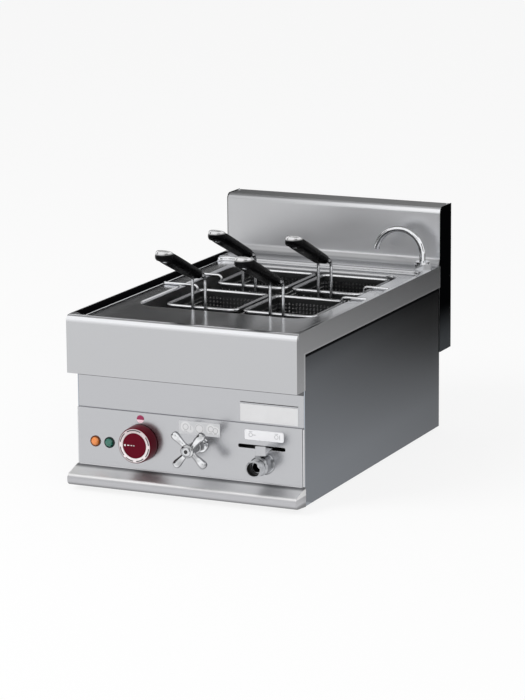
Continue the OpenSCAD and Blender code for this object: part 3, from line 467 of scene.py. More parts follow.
@dataclass(frozen=True)
class SideSteel(SheetSteel):
    """Side sheet with painted shade towards the upper rear, a painted shadow under the skirt, and a painted
    highlight on its front edge.
    """

    # Where the painted shade starts, and over what length, backwards and upwards
    back_from: float = -0.25
    back_over: float = 0.5
    up_from: float = 0.055
    up_over: float = 0.15
    # Parts of the painted shade that follow the depth, the height and both
    parts: tuple[float, float, float] = (0.33, 0.35, 0.32)
    shade_tone: float = 0.05
    # Painted shade as a near-black cover in the upper rear corner, a painted shadow below the skirt and a
    # shadow line under it, with its strength
    corner: Edge = (0.75, 0.5)
    corner_shade: float = 0.35
    skirt: Edge = (0.2275, 0.05)
    skirt_shadow: float = 0.4
    line: Edge = (0.2423, 0.0018)
    line_shadow: float = 0.97
    front: Edge = (-0.2787, 0.0006)
    front_highlight_tone: float = 1.9

    def toned(self, board: Board, colour: Wire) -> Wire:
        """Paint shade that deepens with depth and height, a shadow under the skirt, and a highlight on the
        cut edge.

        Args:
            board: The material's board.
            colour: The plain sheet's colour.

        Returns:
            The toned colour.
        """
        _, y, z = board.axes(board.place())
        back = ((y - self.back_from) / self.back_over).apply("MAXIMUM", 0.0).capped()
        up = ((z - self.up_from) / self.up_over).apply("MAXIMUM", 0.0).capped()
        dark = back * self.parts[0] + up * self.parts[1] + back * up * self.parts[2]
        shadow = dark.step(*self.corner) * self.corner_shade + z.step(*self.skirt) * self.skirt_shadow
        board.painted_shade = shadow.apply("MAXIMUM", z.step(*self.line) * self.line_shadow)
        shaded = board.mix(dark, colour, self.share(self.shade_tone))
        return board.mix(y.step(*self.front), self.share(self.front_highlight_tone), shaded)


@dataclass(frozen=True)
class Polished(Finish):
    """Polished or plated metal with faint handling marks, and a painted dark reflection on its flanks if
    asked for.
    """

    tint: Colour = (0.72, 0.73, 0.75)
    roughness: float = 0.06
    marks: float = 0.05
    mark_scale: float = 90.0
    depth: float = 0.07
    cloud_scale: float = 60.0
    cloud_edge: Edge = (0.5, 0.36)
    relief: tuple[float, float] = (0.015, 0.0005)
    # Painted dark reflection on the flanks: its strength, its edge and its colour
    rim: float = 0.0
    flank_shade_edge: Edge = (0.45, 0.4)
    flank_shade_tint: Colour = (0.03, 0.03, 0.032)

    def draw(self, board: Board) -> None:
        """Fine marks that dull the polish here and there, and the painted dark reflection on the flanks.

        Args:
            board: The material's empty board.
        """
        marks = board.noise(board.place(), self.mark_scale, detail=4.0, rough=0.6)
        cloud = board.noise(board.place(), self.cloud_scale, detail=2.0, rough=0.5)
        colour = board.mix(cloud.step(*self.cloud_edge), scaled(self.tint, 1 - self.depth), self.tint)
        # Painted dark reflection: flanks that turn away from view go towards near black
        if self.rim:
            facing = board.add("ShaderNodeLayerWeight", {}, {"Blend": 0.5}, "Facing")
            colour = board.mix(facing.step(*self.flank_shade_edge) * self.rim, colour, self.flank_shade_tint)
        board.surface(
            Base_Color=colour,
            Metallic=1.0,
            Roughness=self.roughness + marks * self.marks,
            Normal=board.bump(cloud, *self.relief),
        )


@dataclass(frozen=True)
class Moulded(Finish):
    """Moulded plastic or rubber with a fine skin."""

    tint: Colour = (0.02, 0.02, 0.02)
    roughness: float = 0.4
    coat: float = 0.0
    coat_roughness: float = 0.06
    shine: float = 0.5
    skin: float = 0.06
    skin_scale: float = 900.0
    skin_depth: float = 0.0002
    cloud_scale: float = 40.0
    cloud_tones: tuple[float, float] = (0.8, 1.12)
    cloud_dulling: float = 0.1

    def draw(self, board: Board) -> None:
        """Fine skin texture and a slow change of tone.

        Args:
            board: The material's empty board.
        """
        skin = board.noise(board.place(), self.skin_scale, detail=2.0, rough=0.5)
        cloud = board.noise(board.place(), self.cloud_scale, rough=0.5)
        dark, light = (scaled(self.tint, tone) for tone in self.cloud_tones)
        board.surface(
            Base_Color=board.mix(cloud, dark, light),
            Roughness=self.roughness + (cloud - 0.5) * self.cloud_dulling,
            Specular_IOR_Level=self.shine,
            Coat_Weight=self.coat,
            Coat_Roughness=self.coat_roughness,
            Normal=board.bump(skin, self.skin, self.skin_depth),
        )


@dataclass(frozen=True)
class Printed(Finish):
    """Printed or painted surface with a faint cloud in its tones."""

    roughness: float = 0.3
    shine: float = 0.5
    cloud_scale: float = 60.0
    cloud_dulling: float = 0.1

    def cloud(self, board: Board) -> Wire:
        """Slow change of tone over the surface."""
        return board.noise(board.place(), self.cloud_scale)

    def rough(self, cloud: Wire) -> Wire:
        """Roughness that follows the cloud."""
        return self.roughness + cloud * self.cloud_dulling


@dataclass(frozen=True)
class DialPrint(Printed):
    """White dial ring with black arcs and faint ticks; radii in millimetres, angles in degrees."""

    axis: Place = (0.0, 0.0, 0.0)
    ring: Band = (24.3, 26.0, 0.3)
    arcs: tuple[tuple[float, float], ...] = (
        (6.0, 38.0), (-40.0, -6.0), (-84.0, -52.0), (-128.0, -96.0), (64.0, 120.0), (132.0, 170.0),
        (-172.0, -138.0),
    )
    arc_soft: float = 1.0
    tick_ring: Band = (21.6, 23.0, 0.3)
    tick_pitch: float = 22.5
    tick: Band = (0.46, 0.54, 0.02)
    tick_part: float = 0.35
    ink: Colour = (0.015, 0.012, 0.014)
    # Paper lit below and shaded above: painted light and shade on the ring, with its edge and share
    lit_lower_paper: Colour = (0.86, 0.82, 0.82)
    shaded_upper_paper: Colour = (0.5, 0.4, 0.41)
    paper_edge: Edge = (0.0, 0.05)
    paper_shade_part: float = 0.6
    coat: float = 0.3

    def draw(self, board: Board) -> None:
        """Arcs between two radii, broken by gaps, on an almost white ring with painted shade on its upper
        half.

        Args:
            board: The material's empty board.
        """
        x, _, z = board.axes(board.moved(self.axis))
        radius = (x * x + z * z).apply("SQRT") * (1 / MM)
        angle = z.apply("ARCTAN2", x) * math.degrees(1)
        arcs = sum(angle.band(start, end, self.arc_soft) for start, end in self.arcs)
        ticks = radius.band(*self.tick_ring) * (angle / self.tick_pitch).apply("FRACT").band(*self.tick)
        printed = (radius.band(*self.ring) * arcs + ticks * self.tick_part).capped()
        cloud = self.cloud(board)
        # Painted shade on the upper half of the ring, with a faint cloud
        shade = cloud * (1 - self.paper_shade_part) + z.step(*self.paper_edge) * self.paper_shade_part
        paper = board.mix(shade, self.lit_lower_paper, self.shaded_upper_paper)
        board.surface(
            Base_Color=board.mix(printed, paper, self.ink),
            Roughness=self.rough(cloud),
            Coat_Weight=self.coat,
        )


@dataclass(frozen=True)
class Signs(Printed):
    """Pale label with simple signs, at least one ring or bar; in millimetres from its middle."""

    roughness: float = 0.35
    shine: float = 0.3
    middle: tuple[float, float] = (0.0, 0.0)
    paper: Colour = (0.8, 0.8, 0.8)
    paper_tone: float = 0.95
    # Each disc and ring is its middle and its radius, and each bar its middle, width and height
    discs: tuple[tuple[float, float, float], ...] = ()
    disc_tint: Colour = (0.68, 0.68, 0.69)
    disc_soft: float = 0.5
    rings: tuple[tuple[float, float, float], ...] = ()
    bars: tuple[tuple[float, float, float, float], ...] = ()
    line: float = 1.0
    line_soft: float = 0.4
    ink: Colour = (0.2, 0.2, 0.21)
    ink_part: float = 0.6

    def draw(self, board: Board) -> None:
        """Pale discs, then grey rings and bars, on slightly cloudy paper.

        Args:
            board: The material's empty board.
        """
        x, _, z = board.axes(board.moved((self.middle[0], 0.0, self.middle[1]), (1 / MM, 1.0, 1 / MM)))

        def away(across: float, up: float) -> Wire:
            """Distance from a point of the label."""
            return ((x - across) * (x - across) + (z - up) * (z - up)).apply("SQRT")

        def stretch(axis: Wire, middle: float, length: float) -> Wire:
            """One along a length about its middle."""
            return axis.band(middle - length / 2, middle + length / 2, self.line_soft)

        cloud = self.cloud(board)
        colour = board.mix(cloud, scaled(self.paper, self.paper_tone), self.paper)
        for across, up, radius in self.discs:
            colour = board.mix(1 - away(across, up).step(radius, self.disc_soft), colour, self.disc_tint)
        rings = sum(stretch(away(across, up), radius, self.line) for across, up, radius in self.rings)
        bars = sum(stretch(x, across, wide) * stretch(z, up, high) for across, up, wide, high in self.bars)
        board.surface(
            Base_Color=board.mix((rings + bars).capped() * self.ink_part, colour, self.ink),
            Roughness=self.rough(cloud),
            Specular_IOR_Level=self.shine,
        )


@dataclass(frozen=True)
class CapTone(Printed):
    """Cap on a grip's tip: a painted highlight of bright metal above one height, black plastic below it."""

    roughness: float = 0.2
    shine: float = 0.05
    cloud_scale: float = 120.0
    cloud_dulling: float = 0.06
    # Height above which the painted highlight of bright metal covers the black tip
    level: Edge = (0.3815, 0.004)
    highlight_metals: tuple[Colour, Colour] = ((0.72, 0.72, 0.73), (0.82, 0.82, 0.83))

    def draw(self, board: Board) -> None:
        """Painted highlight of bright metal above one height, dark plastic below it.

        Args:
            board: The material's empty board.
        """
        _, _, z = board.axes(board.place())
        cloud = self.cloud(board)
        painted_highlight = z.step(*self.level)
        board.surface(
            Base_Color=board.mix(painted_highlight, NEAR_BLACK, board.mix(cloud, *self.highlight_metals)),
            Metallic=painted_highlight,
            Roughness=self.rough(cloud),
            Specular_IOR_Level=self.shine,
        )


@dataclass(frozen=True)
class TwoTone(Printed):
    """Two tones that meet at one height, each cloudy between two colours."""

    level: Edge = (0.0, 0.001)
    lower: tuple[Colour, Colour] = (NEAR_BLACK, NEAR_BLACK)
    upper: tuple[Colour, Colour] = (NEAR_BLACK, NEAR_BLACK)

    def draw(self, board: Board) -> None:
        """The lower tone, and the upper tone above its edge.

        Args:
            board: The material's empty board.
        """
        _, _, z = board.axes(board.place())
        cloud = self.cloud(board)
        lower, upper = (board.mix(cloud, *colours) for colours in (self.lower, self.upper))
        board.surface(
            Base_Color=board.mix(z.step(*self.level), lower, upper),
            Roughness=self.rough(cloud),
            Specular_IOR_Level=self.shine,
        )


STEEL = SheetSteel("sheet_steel", tint=(0.545, 0.55, 0.57), roughness=0.25)
STRIP_STEEL = StripSteel("strip_steel", tint=(0.535, 0.54, 0.56), roughness=0.24)
LEDGE_STEEL = LedgeSteel("ledge_steel", tint=(0.55, 0.55, 0.57), roughness=0.42)
# Lighter than the sheet: painted highlight on the side panels' folds and the panel's hem
EDGE_HIGHLIGHT_STEEL = SheetSteel("edge_steel", tint=(0.72, 0.725, 0.74), roughness=0.2)
# Lighter steel on the baskets' hole edges: painted glints
CUT_EDGE_HIGHLIGHT = SheetSteel("cut_edge_steel", tint=(0.75, 0.75, 0.76), grain=Grain.EVEN, roughness=0.3)
SPLASH_STEEL = SplashSteel("splash_steel", tint=(0.62, 0.625, 0.64), roughness=0.33)
TOP_STEEL = TopSteel("worktop_steel", tint=(0.54, 0.545, 0.56), roughness=0.17, grain=Grain.ALONG)
# Darker tint than the other sheets: painted shade, as the side panels are the same stainless
SHADED_SIDE_STEEL = SideSteel("side_steel", tint=(0.258, 0.278, 0.308), grain=Grain.ALONG, roughness=0.22)
INNER_STEEL = SheetSteel("inner_steel", tint=(0.42, 0.42, 0.43), grain=Grain.UPRIGHT)
ZINC = SheetSteel("zinc_sheet", tint=(0.5, 0.5, 0.5), grain=Grain.EVEN, streak=0.16, roughness=0.42)
# Darker tint than the other sheets: painted shade inside the baskets
SHADED_MESH_STEEL = SheetSteel("basket_sheet", tint=(0.13, 0.132, 0.135), grain=Grain.UPRIGHT, roughness=0.35)
SHEATH = SheetSteel("element_sheath", tint=(0.2, 0.18, 0.17), grain=Grain.EVEN, streak=0.25, roughness=0.5)
# Wire, spout and tap chrome carry the painted dark reflection on their flanks
WIRE = Polished("wire", tint=(0.94, 0.95, 0.97), roughness=0.2, rim=0.85)
CHROME = Polished("chrome")
SPOUT_CHROME = Polished("spout_chrome", tint=(0.86, 0.87, 0.89), rim=0.85)
TAP_CHROME = Polished("tap_chrome", tint=(0.88, 0.89, 0.91), depth=0.5, rim=0.75)
OUTLET_CHROME = Polished("outlet_chrome", tint=(0.5, 0.51, 0.53), roughness=0.1, depth=0.5)
BRASS = Polished("brass", tint=(0.68, 0.5, 0.22), roughness=0.28)
# Brass tint made nearly black, used on the drain valve's body
DARK_BRASS = Polished("dark_brass", tint=(0.09, 0.075, 0.05), roughness=0.4, depth=0.3)
COPPER = Polished("copper", tint=(0.7, 0.38, 0.25), roughness=0.25)
PLATE = Polished("plain_plate", tint=(0.8, 0.8, 0.81), roughness=0.35, depth=0.025)
GRIP = Moulded("grip", tint=(0.0018, 0.0018, 0.0022), roughness=0.26, shine=0.03)
BLACK = Moulded("black_plastic", tint=(0.02, 0.02, 0.021), roughness=0.45)
RUBBER = Moulded("rubber", tint=(0.015, 0.015, 0.015), roughness=0.75, skin=0.2)
WHITE = Moulded("white_plastic", tint=(0.8, 0.8, 0.79), roughness=0.3, coat=0.3)
RED = Moulded("dark_red", tint=(0.105, 0.002, 0.011), roughness=0.3, shine=0.07)
# Near-black lining of the outlet's bore: painted shade inside it
SHADE_BORE = Moulded("dark_bore", tint=(0.004, 0.004, 0.004), roughness=0.3, shine=0.15)
ORANGE = Moulded("orange_lens", tint=(0.75, 0.22, 0.03), roughness=0.15, coat=1.0)
GREEN = Moulded("green_lens", tint=(0.005, 0.13, 0.09), roughness=0.15, coat=1.0)
AMBER_RIM = Moulded("amber_rim", tint=(0.13, 0.035, 0.008), roughness=0.25, shine=0.3)
GREEN_RIM = Moulded("green_rim", tint=(0.002, 0.018, 0.014), roughness=0.25, shine=0.3)
# Grip ends: black tips with a painted highlight on top
GRIP_END = CapTone("grip_end")
DARK_END = TwoTone(
    "dark_end", roughness=0.4, shine=0.0, cloud_scale=40.0, level=(0.178, 0.08),
    lower=((0.055, 0.06, 0.065), (0.062, 0.067, 0.073)),
    upper=((0.0012, 0.0014, 0.0016), (0.0018, 0.002, 0.0023)),
)
# Index spot: crimson above, pale pink below, where the pale half is a painted reflection
SPOT = TwoTone(
    "index_spot", cloud_scale=80.0, level=(0.1188, 0.001),
    lower=((0.88, 0.66, 0.72), (0.88, 0.66, 0.72)),
    upper=((0.24, 0.01, 0.06), (0.33, 0.02, 0.09)),
)

CORNERS = ("front_left", "front_right", "rear_left", "rear_right")
NODE_FINISHES: dict[str, Finish] = {
    "worktop": TOP_STEEL, "tank": INNER_STEEL, "left_side_panel": SHADED_SIDE_STEEL, "right_side_panel": SHADED_SIDE_STEEL,
    "front_strip": STRIP_STEEL, "control_panel": STEEL, "base_ledge": LEDGE_STEEL, "base_plate": ZINC,
    "rear_panel": ZINC, "splashback": SPLASH_STEEL, "splashback_ends": DARK_END, "feet": RUBBER,
    "heating_element": SHEATH, "element_flange": ZINC, "thermostat_pocket": INNER_STEEL,
    "false_bottom": INNER_STEEL, "drain_elbow": INNER_STEEL, "drain_valve_body": DARK_BRASS,
    "drain_outlet": CHROME, "water_valve": BRASS, "tap_bonnet": CHROME, "feed_pipe": COPPER,
    "spout_pipe": COPPER, "inlet_fitting": BRASS, "spout_nut": CHROME, "orange_lamp": ORANGE,
    "green_lamp": GREEN, "thermostat": BLACK, "safety_thermostat": BLACK, "contactor": BLACK,
    "terminal_block": WHITE, "component_tray": ZINC, "cable_gland": BLACK, "name_plate": PLATE,
    "tap_label": WHITE, "drain_label": WHITE, "index_spot": RED, "thermostat_shaft": ZINC, "knob": RED,
    "knob_dial": WHITE, "tap_spindle": BRASS, "tap_handle": CHROME, "tap_cap": BLACK, "valve_stem": ZINC,
    "valve_ball": CHROME, "drain_lever": STEEL, "spout": SPOUT_CHROME,
}
for basket in CORNERS:
    NODE_FINISHES[basket + "_shell"] = SHADED_MESH_STEEL
    NODE_FINISHES[basket + "_frame"] = WIRE
    NODE_FINISHES[basket + "_grip"] = GRIP


def dress_nodes() -> None:
    """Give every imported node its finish."""
    for name, finish in NODE_FINISHES.items():
        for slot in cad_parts[name].material_slots:
            slot.material = finish.material()
    LOG.info("dressed %d nodes", len(NODE_FINISHES))


# Studio


@dataclass(frozen=True)
class Light:
    """A soft square light that faces the object and that metal does not see; power in watts."""

    name: str
    place: Place
    size: float
    power: float
    aim: Place = (0.0, 0.0, 0.2)

    def build(self) -> None:
        """Add the light."""
        bpy.ops.object.light_add(type="AREA", location=self.place)
        lamp = bpy.context.object
        lamp.name = self.name
        lamp.rotation_euler = (Vector(self.aim) - Vector(self.place)).to_track_quat("-Z", "Y").to_euler()
        lamp.data.size = self.size
        lamp.data.energy = self.power
        lamp.visible_glossy = False


@dataclass(frozen=True)
class Card:
    """A card that only reflections see, with the greys of its left and right edges; turn in degrees."""

    name: str
    size: tuple[float, float]
    place: Place
    turn: Turn = FRONT
    greys: tuple[float, float] = (0.02, 0.02)

    def build(self) -> None:
        """Add the card."""
        Bench.clear()
        turn = [math.radians(angle) for angle in self.turn]
        bpy.ops.mesh.primitive_plane_add(size=1.0, location=self.place, rotation=turn)
        card = bpy.context.object
        card.name = self.name
        card.scale = (*self.size, 1.0)
        material = blank(self.name)
        board = Board(material.node_tree)
        across, _, _ = board.axes(board.place())
        left, right = ((grey, grey, grey) for grey in self.greys)
        tone = board.mix(across.step(0.0, 1.0), left, right)
        board.close(board.add("ShaderNodeEmission", {}, {"Color": tone, "Strength": 1.0}))
        card.data.materials.append(material)
        card.visible_camera = False
        card.visible_diffuse = False
        card.visible_shadow = False
        card.visible_transmission = False


@dataclass(frozen=True)
class Studio:
    """White studio with a large soft key light from the left and cards that only metal sees."""

    camera_at: Place = (2.09848, -4.55591, 1.29503)
    azimuth: float = 24.746
    elevation: float = 12.522
    roll: float = -0.475
    lens: float = 159.99
    sensor: float = 36.0
    far: float = 60.0
    ambient: float = 0.62
    floor_size: float = 30.0
    floor_tint: Colour = (0.86, 0.86, 0.86)
    floor_white: float = 0.84
    lights: tuple[Light, ...] = (
        Light("key_light", (-2.4, -2.6, 2.9), size=2.4, power=120.0),
        Light("fill_light", (2.6, -3.4, 2.0), size=2.0, power=30.0),
    )
    cards: tuple[Card, ...] = (
        Card("rear_card", (0.8, 1.8), (-1.42, 3.2, 0.9), greys=(0.07, 0.34)),
        Card("right_rear_card", (4.4, 1.8), (1.18, 3.2, 0.9), greys=(0.34, 0.38)),
        Card("left_rear_card", (2.0, 1.8), (-2.82, 3.2, 0.9), greys=(0.07, 0.07)),
        Card("ceiling_card", (6.0, 3.4), (0.0, 1.5, 3.3), (0, 0, 0), greys=(0.3, 0.3)),
        Card("floor_card", (2.4, 3.0), (1.66, 0.95, 0.004), (0, 0, 90), greys=(0.58, 0.03)),
        Card("left_card", (2.0, 1.1), (-2.6, -0.9, 0.85), (90, 0, 90)),
        Card("right_card", (1.6, 1.2), (2.6, -1.0, 0.95), (90, 0, 90)),
        Card("front_card", (0.9, 0.6), (0.75, -3.2, 1.4)),
        Card("upper_left_card", (1.2, 1.0), (-2.6, -1.7, 1.6), (60, 0, -55)),
        Card("left_front_card", (1.2, 0.5), (-2.3, -2.1, 0.7), (90, 0, -48)),
    )

    def build(self) -> None:
        """Set the view, the camera, the world, the floor, the lights and the cards."""
        bpy.context.scene.view_settings.view_transform = "Standard"
        self.camera()
        self.world()
        self.floor()
        for thing in (*self.lights, *self.cards):
            thing.build()

    def camera(self) -> None:
        """Camera at the photograph's angle."""
        bpy.ops.object.camera_add(location=self.camera_at)
        camera = bpy.context.object
        camera.name = "camera"
        turn = Euler((math.radians(90 - self.elevation), 0, math.radians(self.azimuth))).to_matrix()
        camera.rotation_euler = (turn @ Matrix.Rotation(math.radians(self.roll), 3, "Z")).to_euler()
        camera.data.sensor_fit = "VERTICAL"
        camera.data.sensor_height = self.sensor
        camera.data.lens = self.lens
        camera.data.clip_end = self.far
        bpy.context.scene.camera = camera

    def seen(self, board: Board) -> Wire:
        """Tell apart the rays that show the background: camera, glossy and transmission rays.

        Args:
            board: Board of the floor or the world.

        Returns:
            One for those rays, zero for the rest.
        """
        path = board.node("ShaderNodeLightPath", {}, {})
        names = ("Is Camera Ray", "Is Glossy Ray", "Is Transmission Ray")
        camera, glossy, through = (Wire(board, path.outputs[name]) for name in names)
        return (camera + glossy + through).capped()

    def world(self) -> None:
        """White to the camera and to metal, a plain level of light to everything else."""
        world = bpy.data.worlds.new("studio")
        world.use_nodes = True
        board = Board(world.node_tree)
        strength = self.seen(board) * (1 - self.ambient) + self.ambient
        light = board.add("ShaderNodeBackground", {}, {"Color": (1, 1, 1, 1), "Strength": strength})
        board.node("ShaderNodeOutputWorld", {}, {0: light})
        bpy.context.scene.world = world

    def floor(self) -> None:
        """Pale floor that keeps the object's shadow."""
        Bench.clear()
        bpy.ops.mesh.primitive_plane_add(size=self.floor_size)
        floor = bpy.context.object
        floor.name = "floor"
        material = blank("floor")
        board = Board(material.node_tree)
        matt = board.add("ShaderNodeBsdfDiffuse", {}, {"Color": board.opaque(self.floor_tint)})
        white = board.add("ShaderNodeEmission", {}, {"Color": (1, 1, 1, 1), "Strength": 1.0})
        shown = self.seen(board) * self.floor_white
        board.close(board.add("ShaderNodeMixShader", {}, {0: shown, 1: matt, 2: white}))
        floor.data.materials.append(material)


# Modelling by hand


class Pick(Enum):
    """What is selected while a mesh is edited."""

    CORNERS = "VERT"
    EDGES = "EDGE"
    FACES = "FACE"


Test = Callable[[Vector, Vector], bool]
Profile = Sequence[tuple[float, float]]


class Bench:
    """Hand operations on meshes; sizes given to it are in metres unless a method says otherwise."""

    @staticmethod
    def clear() -> None:
        """Leave edit mode and deselect everything."""
        if bpy.context.mode != "OBJECT":
            bpy.ops.object.mode_set(mode="OBJECT")
        bpy.ops.object.select_all(action="DESELECT")

    @staticmethod
    def take(*things: bpy.types.Object) -> None:
        """Select some objects and make the last one active.

        Args:
            things: The objects.
        """
        Bench.clear()
        for thing in things:
            thing.select_set(True)
        bpy.context.view_layer.objects.active = things[-1]

    @staticmethod
    def discard(*things: bpy.types.Object) -> None:
        """Delete objects that were only needed on the way."""
        Bench.take(*things)
        bpy.ops.object.delete()

    @staticmethod
    def edit(thing: bpy.types.Object, kind: Pick = Pick.FACES, everything: bool = True) -> None:
        """Open a mesh for editing.

        Args:
            thing: The mesh object.
            kind: What is selected: corners, edges or faces.
            everything: Whether everything or nothing is selected.
        """
        Bench.take(thing)
        bpy.context.tool_settings.mesh_select_mode = [kind is one for one in Pick]
        bpy.ops.object.mode_set(mode="EDIT")
        bpy.ops.mesh.select_all(action="SELECT" if everything else "DESELECT")

    @staticmethod
    def pick(thing: bpy.types.Object, kind: Pick, test: Test) -> None:
        """Select parts of a mesh by their place, and leave it open for editing.

        Args:
            thing: The mesh object.
            kind: Corners, edges or faces.
            test: Takes a part's middle and its normal (an edge's direction) and tells whether it is wanted.
        """
        Bench.edit(thing, kind, everything=False)
        bpy.ops.object.mode_set(mode="OBJECT")
        mesh = thing.data
        if kind is Pick.CORNERS:
            for corner in mesh.vertices:
                corner.select = test(corner.co, corner.normal)
        elif kind is Pick.EDGES:
            for edge in mesh.edges:
                start, end = (mesh.vertices[i].co for i in edge.vertices)
                edge.select = test((start + end) / 2, (end - start).normalized())
        else:
            for face in mesh.polygons:
                face.select = test(face.center, face.normal)
        bpy.ops.object.mode_set(mode="EDIT")

    @staticmethod
    def cut(thing: bpy.types.Object, test: Test) -> None:
        """Delete the faces that a test picks, and leave the mesh open for editing."""
        Bench.pick(thing, Pick.FACES, test)
        bpy.ops.mesh.delete(type="FACE")

    @staticmethod
    def modify(thing: bpy.types.Object, kind: str, **settings: Any) -> None:
        """Add a modifier, set it and apply it.

        Args:
            thing: The mesh object.
            kind: Type of the modifier.
            settings: Its attributes.
        """
        Bench.take(thing)
        modifier = thing.modifiers.new(kind.lower(), kind)
        for name, value in settings.items():
            setattr(modifier, name, value)
        bpy.ops.object.modifier_apply(modifier=modifier.name)

    @staticmethod
    def turned(profile: Profile, sides: int = 48) -> bpy.types.Object:
        """Turn a shape about z by extruding a disc ring by ring.

        Args:
            profile: Radius and height of each ring in millimetres, from the bottom up.
            sides: Corners of each ring.

        Returns:
            The shape.
        """
        Bench.clear()
        radius, height = profile[0]
        bpy.ops.mesh.primitive_circle_add(vertices=sides, radius=radius * MM, fill_type="NGON")
        thing = bpy.context.object
        Bench.edit(thing)
        bpy.ops.transform.translate(value=(0, 0, height * MM))
        for next_radius, next_height in profile[1:]:
            step = {"value": (0, 0, (next_height - height) * MM)}
            bpy.ops.mesh.extrude_region_move(TRANSFORM_OT_translate=step)
            ratio = next_radius / radius
            bpy.ops.transform.resize(value=(ratio, ratio, 1), center_override=(0, 0, next_height * MM))
            radius, height = next_radius, next_height
        Bench.tidy(thing)
        return thing

    @staticmethod
    def block(
        size: Sequence[float], place: Sequence[float] = (0, 0, 0), edge: float = 0.0,
    ) -> bpy.types.Object:
        """A cuboid with rounded edges.

        Args:
            size: Its sides in millimetres.
            place: Its middle in millimetres.
            edge: Radius of its edges in millimetres.

        Returns:
            The cuboid.
        """
        Bench.clear()
        bpy.ops.mesh.primitive_cube_add(size=1.0)
        thing = bpy.context.object
        Bench.edit(thing)
        bpy.ops.transform.resize(value=[side * MM for side in size])
        bpy.ops.transform.translate(value=[step * MM for step in place])
        if edge:
            bpy.ops.mesh.bevel(offset=edge * MM, segments=3, profile=0.5)
        Bench.clear()
        return thing

    @staticmethod
    def plate(size: Sequence[float]) -> bpy.types.Object:
        """A flat rectangle about the origin, left open for editing.

        Args:
            size: Its sides along x and y.

        Returns:
            The rectangle.
        """
        Bench.clear()
        bpy.ops.mesh.primitive_plane_add(size=1.0)
        thing = bpy.context.object
        Bench.edit(thing)
        bpy.ops.transform.resize(value=(*size, 1))
        return thing

    @staticmethod
    def tidy(thing: bpy.types.Object) -> None:
        """Merge doubled corners and turn all faces outward.

        Args:
            thing: The mesh object.
        """
        Bench.edit(thing)
        bpy.ops.mesh.remove_doubles(threshold=MERGE)
        bpy.ops.mesh.normals_make_consistent(inside=False)
        Bench.clear()

    @staticmethod
    def move(thing: bpy.types.Object, place: Sequence[float], turn: Turn = (0, 0, 0)) -> bpy.types.Object:
        """Turn an object about its origin, move it, and put both into its mesh.

        Args:
            thing: The object.
            place: Move along x, y and z.
            turn: Turn about x, y and z in degrees.

        Returns:
            The object.
        """
        Bench.take(thing)
        thing.rotation_euler = [math.radians(angle) for angle in turn]
        thing.location = place
        bpy.ops.object.transform_apply(location=True, rotation=True, scale=True)
        return thing

    @staticmethod
    def copy(
        thing: bpy.types.Object, place: Sequence[float] = (0, 0, 0), turn: Turn = (0, 0, 0),
    ) -> bpy.types.Object:
        """Copy an object with its own mesh, turned and moved.

        Args:
            thing: The object.
            place: Move along x, y and z.
            turn: Turn about x, y and z in degrees.

        Returns:
            The copy.
        """
        Bench.take(thing)
        bpy.ops.object.duplicate()
        return Bench.move(bpy.context.object, place, turn)

    @staticmethod
    def join(things: Sequence[bpy.types.Object]) -> bpy.types.Object:
        """Join meshes into the last one.

        Args:
            things: The mesh objects.

        Returns:
            The joined object.
        """
        Bench.take(*things)
        bpy.ops.object.join()
        return bpy.context.object

    @staticmethod
    def softened(node: str, width: float, angle: float = 40.0, flat: float = 0.5) -> bpy.types.Object:
        """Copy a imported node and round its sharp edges.

        Args:
            node: Name of the node.
            width: Width of the rounding in millimetres.
            angle: Edges sharper than this, in degrees, are rounded.
            flat: Faces that meet at less than this, in degrees, are merged first.

        Returns:
            The copy.
        """
        thing = Bench.copy(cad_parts[node])
        Bench.edit(thing)
        bpy.ops.mesh.remove_doubles(threshold=MERGE)
        bpy.ops.mesh.dissolve_limited(angle_limit=math.radians(flat))
        Bench.clear()
        Bench.modify(
            thing, "BEVEL", width=width * MM, segments=2, limit_method="ANGLE",
            angle_limit=math.radians(angle), use_clamp_overlap=True,
        )
        return thing


# In millimetres: the apron's front before the origin, the control panel behind it, the feet's height
APRON = 311.5
PANEL = 28.0
FEET = 5.0


def at(x: float, back: float, up: float) -> Vector:
    """Point of the part's frame from casing measures in millimetres: across, back from the apron, up."""
    return Vector((x, back - APRON, up + FEET)) * MM


def middle_of(node: str) -> Vector:
    """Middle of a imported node's box."""
    low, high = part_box(node)
    return Vector([(first + last) / 2 for first, last in zip(low, high)])


def put(
    thing: bpy.types.Object, name: str, finish: Finish, body: str = "casing",
    nodes: Sequence[str] = (), smooth: float = 32.0, accent: tuple[Finish, Test] | None = None,
) -> None:
    """Finish a piece: name it, dress it and let it ride on its body.

    Args:
        thing: The modelled object.
        name: Name of the piece.
        finish: Its finish.
        body: Body that it moves with.
        nodes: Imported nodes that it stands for.
        smooth: Edges flatter than this, in degrees, are shaded smooth.
        accent: A second finish, and the test that picks the faces that take it.
    """
    Bench.take(thing)
    bpy.ops.object.transform_apply(location=True, rotation=True, scale=True)
    bpy.ops.object.shade_smooth_by_angle(angle=math.radians(smooth))
    Bench.modify(thing, "WEIGHTED_NORMAL", keep_sharp=True)
    thing.name = name
    thing.data.name = name
    thing.data.materials.clear()
    thing.data.materials.append(finish.material())
    if accent:
        thing.data.materials.append(accent[0].material())
        Bench.pick(thing, Pick.FACES, accent[1])
        thing.active_material_index = 1
        bpy.ops.object.material_slot_assign()
        Bench.clear()
    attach(thing, body)
    if nodes:
        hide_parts(*nodes)
    LOG.info("piece %s on %s, %d faces", name, body, len(thing.data.polygons))


# Sub-assemblies, with sizes in millimetres and angles in degrees


@dataclass(frozen=True)
class Thread:
    """Screw thread as a row of rings."""

    root: float
    crest: float
    start: float
    pitch: float
    turns: int
    # Height above a turn's start at which its crest begins, its crest ends and its foot lies
    rise: tuple[float, float, float]

    def rings(self) -> list[tuple[float, float]]:
        """Radius and height of each ring, from the bottom up.

        Returns:
            The rings.
        """
        radii = (self.root, self.crest, self.crest, self.root)
        turn = list(zip(radii, (0.0, *self.rise)))
        return [(radius, self.start + self.pitch * k + up) for k in range(self.turns) for radius, up in turn]


